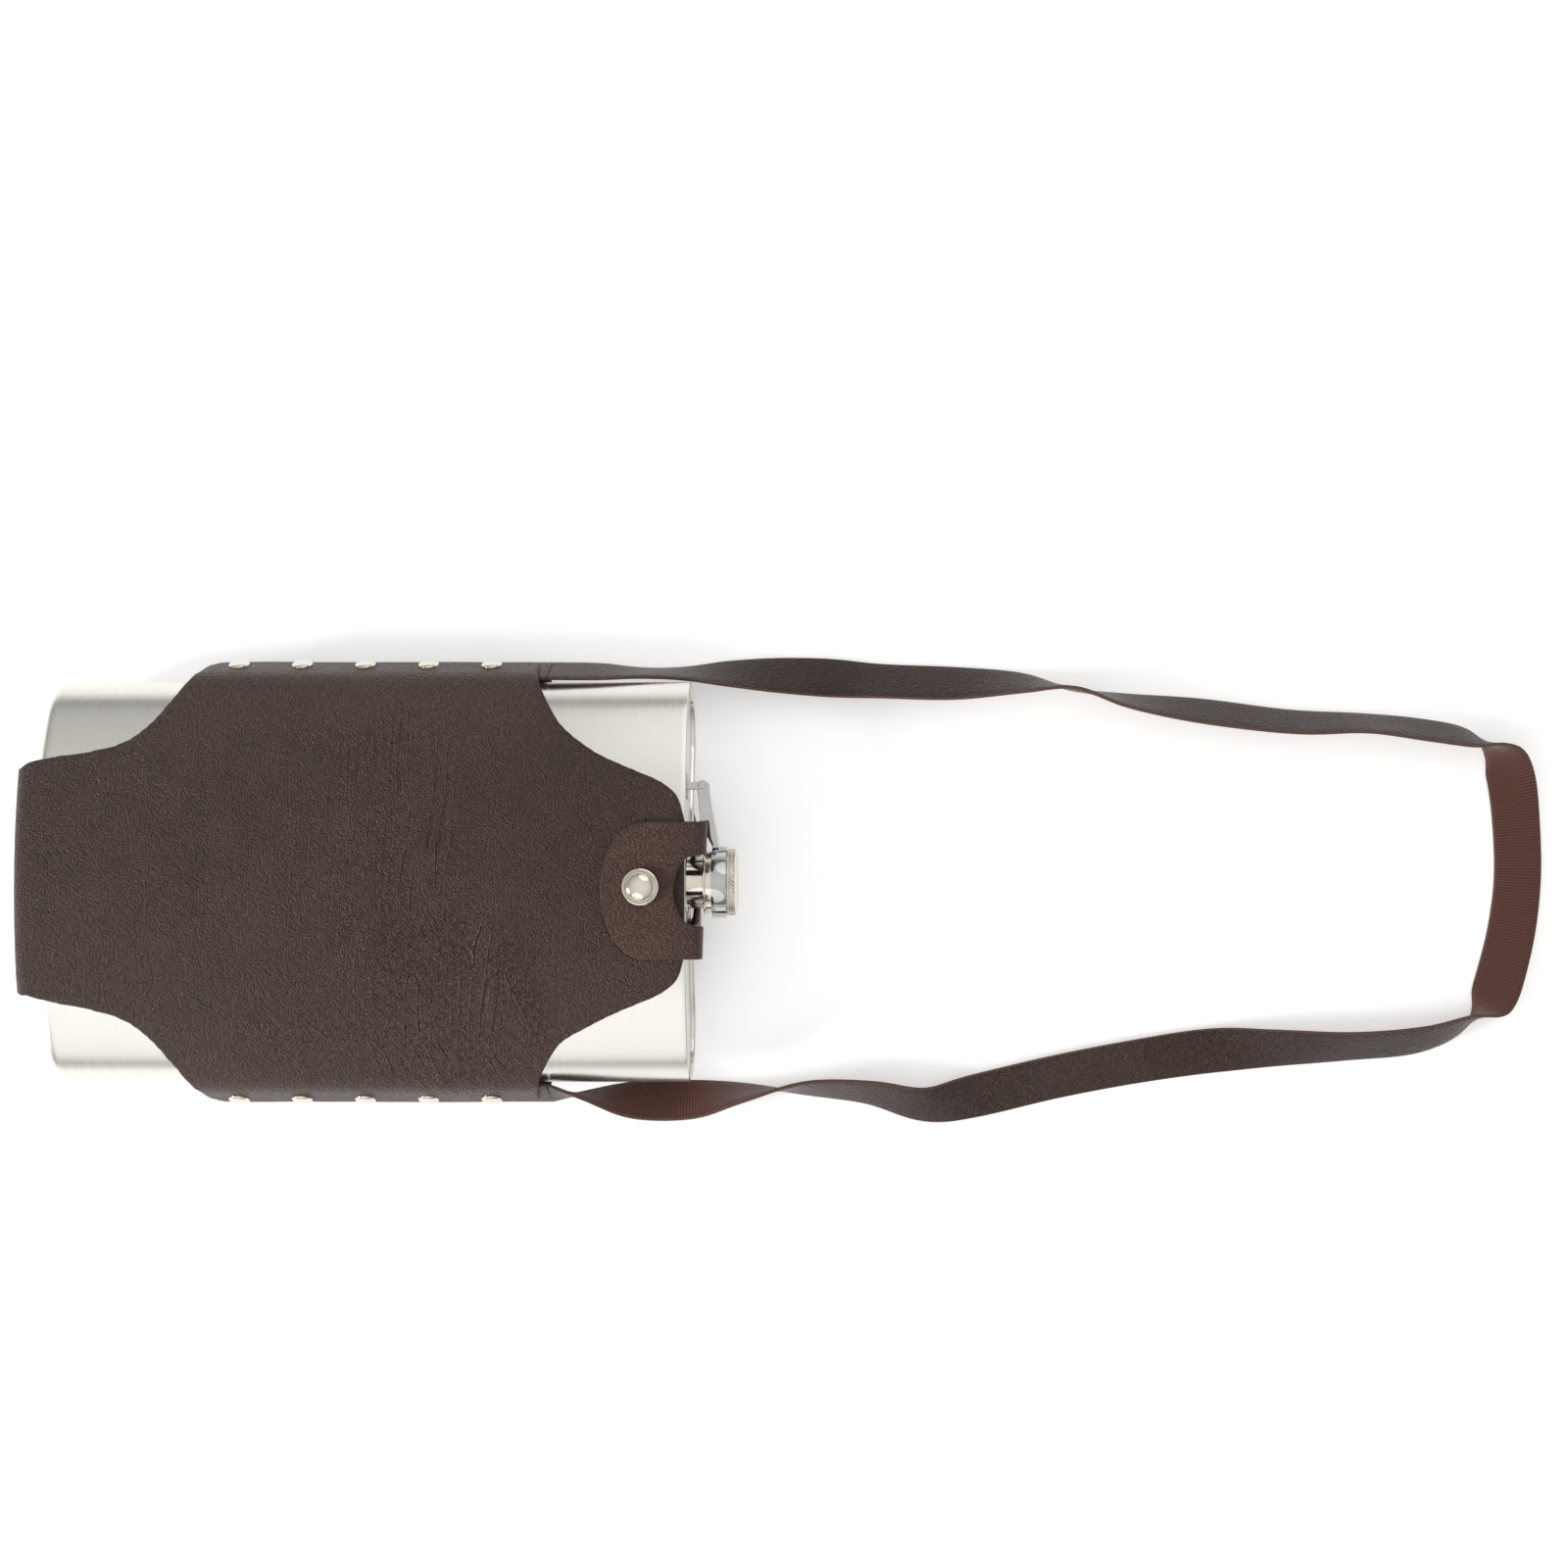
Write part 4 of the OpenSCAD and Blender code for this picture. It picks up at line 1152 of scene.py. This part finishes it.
class CANTEEN_OT_flap(bpy.types.Operator):
    """Makes the flap that passes over the neck and snaps shut on the front"""
    bl_idname = "canteen.flap"
    bl_label = "Flap"

    def execute(self, context):
        line, over = flap_line(Section())
        tip, w = line[-1][0], FLAP_HALF

        def at_x(x):
            """Distance along the flap where its upper run crosses x"""
            return min((abs(p[1] - x), p[0]) for p in line if p[2] > 55 * MM)[1]

        # Half of the flat outline: outer edge, round tip, then the hole for the neck, which is cut
        # round at the tongue's end (bite) and at the lower end (low)
        straight, bite, low, neck_w = at_x(X_TOP - 17 * MM), at_x(X_TOP - 4.5 * MM), 11 * MM, 14.6 * MM
        side = [(0, w), (straight * 0.5, w + 0.2 * MM)]
        side += arc(straight, 0, tip - straight, w, range(90, 1, -6))
        bite_r = 19.5 * MM
        slot = arc(bite - bite_r, 0, bite_r, bite_r, (4, 12, 20, 28, 36, 43))
        slot += [(bite - 9 * MM, neck_w * 0.97), (bite - 13 * MM, neck_w), (low + neck_w, neck_w)]
        slot += arc(low + neck_w, 0, -neck_w, neck_w, (75, 60, 45, 30, 15, 4))
        outline = [(0, 0)] + side + [(tip, 0), (bite, 0)] + slot + [(low, 0)]
        bm = bmesh.new()
        for sign in (1, -1):
            part = flat_sheet([(q, sign * u) for q, u in outline], 1.7 * MM)
            mesh = bpy.data.meshes.new("half")
            part.to_mesh(mesh)
            part.free()
            bm.from_mesh(mesh)
            bpy.data.meshes.remove(mesh)
        bmesh.ops.remove_doubles(bm, verts=bm.verts[:], dist=0.05 * MM)
        area = sum(f.calc_area() for f in bm.faces)

        def place(q, u):
            x, z = along(line, q)
            y = FLAP_Y + u
            upper = clamp((z - 40 * MM) / (15 * MM))
            drop = (over - math.sqrt(over * over - y * y)) * upper
            # The bend stands out further on one side, and less beside the neck
            past = max(0.0, x - X_TOP - 1.7 * MM)
            tuck = 1 - 0.25 * max(0.0, 1 - abs(u) / (14 * MM))
            x = x + past * ((1 + 0.20 * u / w) * tuck - 1)
            near = math.hypot(x - SNAP_X, y - SNAP_Y) / (11 * MM)
            press = 0.35 * MM * math.exp(-near * near) if x < X_TOP - 5 * MM else 0.0
            wave = 0.22 * MM * ripple(x * 60, y * 60, 2) * upper
            tip_lift = 0.35 * MM * max(0.0, (X_TOP - x) / (34 * MM)) ** 2 * upper
            return Vector((x, y, z - drop - press + max(wave, 0) + tip_lift))

        flap = leather_piece("leather_flap", bm, place, sizes().leather_t,
                             [finish("flap_leather"), finish("backing"), finish("edge")], False)
        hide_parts("flap_bridge", "flap_tongue")
        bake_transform(flap)
        return {"FINISHED"}


# ---- snap and rivets -------------------------------------------------------------------------


class CANTEEN_OT_fittings(bpy.types.Operator):
    """Makes the snap's domed cap and the ten rivet caps, and finishes the small turned parts"""
    bl_idname = "canteen.fittings"
    bl_label = "Snap and rivets"

    def execute(self, context):
        s, section = sizes(), Section()
        r = (SNAP_HIGH.x - SNAP_LOW.x) / 2
        profile = [(0, 0)] + [(r - inset * MM, h * MM) for inset, h in (
            (0.9, 0), (0.35, 0.05), (0.05, 0.35), (0, 0.7), (0.12, 1.05), (0.5, 1.2), (0.95, 0.95))]
        rise = 4 * MM
        profile += arc(0, 1 * MM, r - 1.15 * MM, rise - 1 * MM, range(4, 90, 7)) + [(0, rise)]
        snap = lathe("snap_dome", profile, (SNAP_X, SNAP_Y, SNAP_LOW.z), (0, 0, 1), finish("nickel"))
        settle(snap, "flap", "nickel", "snap_cap")

        low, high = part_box("rivet_caps")
        r, count = s.rivet_d / 2, 5
        profile = [(0, 0), (r - 0.4 * MM, 0), (r - 0.05 * MM, 0.15 * MM), (r, 0.35 * MM)]
        profile += arc(0, 0.4 * MM, r, 1.4 * MM, range(10, 90, 10)) + [(0, 1.8 * MM)]
        p = section.seam(section.seam_front + s.leather_t / 2, s.seam_w * 0.6)
        stock = lathe("rivet", profile, (0, 0, 0), (0, 0, 1), finish("nickel"), 48)
        rivets = []
        for side in (1, -1):
            for i in range(count):
                x = low.x + r + (high.x - low.x - 2 * r) * i / (count - 1)
                one = stock.copy()
                one.data = stock.data.copy()
                context.scene.collection.objects.link(one)
                turn = Matrix.Rotation(-side * section.slope, 4, "X")
                one.data.transform(Matrix.Translation((x, side * p.x, p.y)) @ turn)
                rivets.append(one)
        bpy.data.objects.remove(stock)
        deselect()
        for one in rivets:
            one.select_set(True)
        context.view_layer.objects.active = rivets[0]
        bpy.ops.object.join()
        caps = context.object
        caps.name = "rivet_domes"
        settle(caps, "canteen", "nickel", "rivet_caps")
        for node in ("rivet_posts", "snap_post", "snap_stud", "snap_socket"):
            refinish(node, "nickel")
        return {"FINISHED"}


class CANTEEN_PT_panel(bpy.types.Panel):
    """Lists the steps that build the canteen"""
    bl_idname = "CANTEEN_PT_panel"
    bl_label = "Canteen"
    bl_space_type = "VIEW_3D"
    bl_region_type = "UI"
    bl_category = "Canteen"

    def draw(self, context):
        for step in STEPS:
            self.layout.operator(step.bl_idname)


STEPS = (CANTEEN_OT_stage, CANTEEN_OT_strap, CANTEEN_OT_flask, CANTEEN_OT_neck, CANTEEN_OT_cap,
         CANTEEN_OT_sleeve, CANTEEN_OT_flap, CANTEEN_OT_fittings)
CLASSES = (CanteenSizes, CanteenColours) + STEPS + (CANTEEN_PT_panel,)


def register():
    for c in CLASSES:
        bpy.utils.register_class(c)
    bpy.types.Scene.canteen_sizes = bpy.props.PointerProperty(type=CanteenSizes)
    bpy.types.Scene.canteen_colours = bpy.props.PointerProperty(type=CanteenColours)


def unregister():
    del bpy.types.Scene.canteen_colours
    del bpy.types.Scene.canteen_sizes
    for c in reversed(CLASSES):
        bpy.utils.unregister_class(c)


def main():
    register()
    bpy.ops.canteen.stage()
    bpy.ops.canteen.strap()
    bpy.ops.canteen.flask()
    bpy.ops.canteen.neck()
    bpy.ops.canteen.cap()
    bpy.ops.canteen.sleeve()
    bpy.ops.canteen.flap()
    bpy.ops.canteen.fittings()
    deselect()


if __name__ == "__main__":
    main()
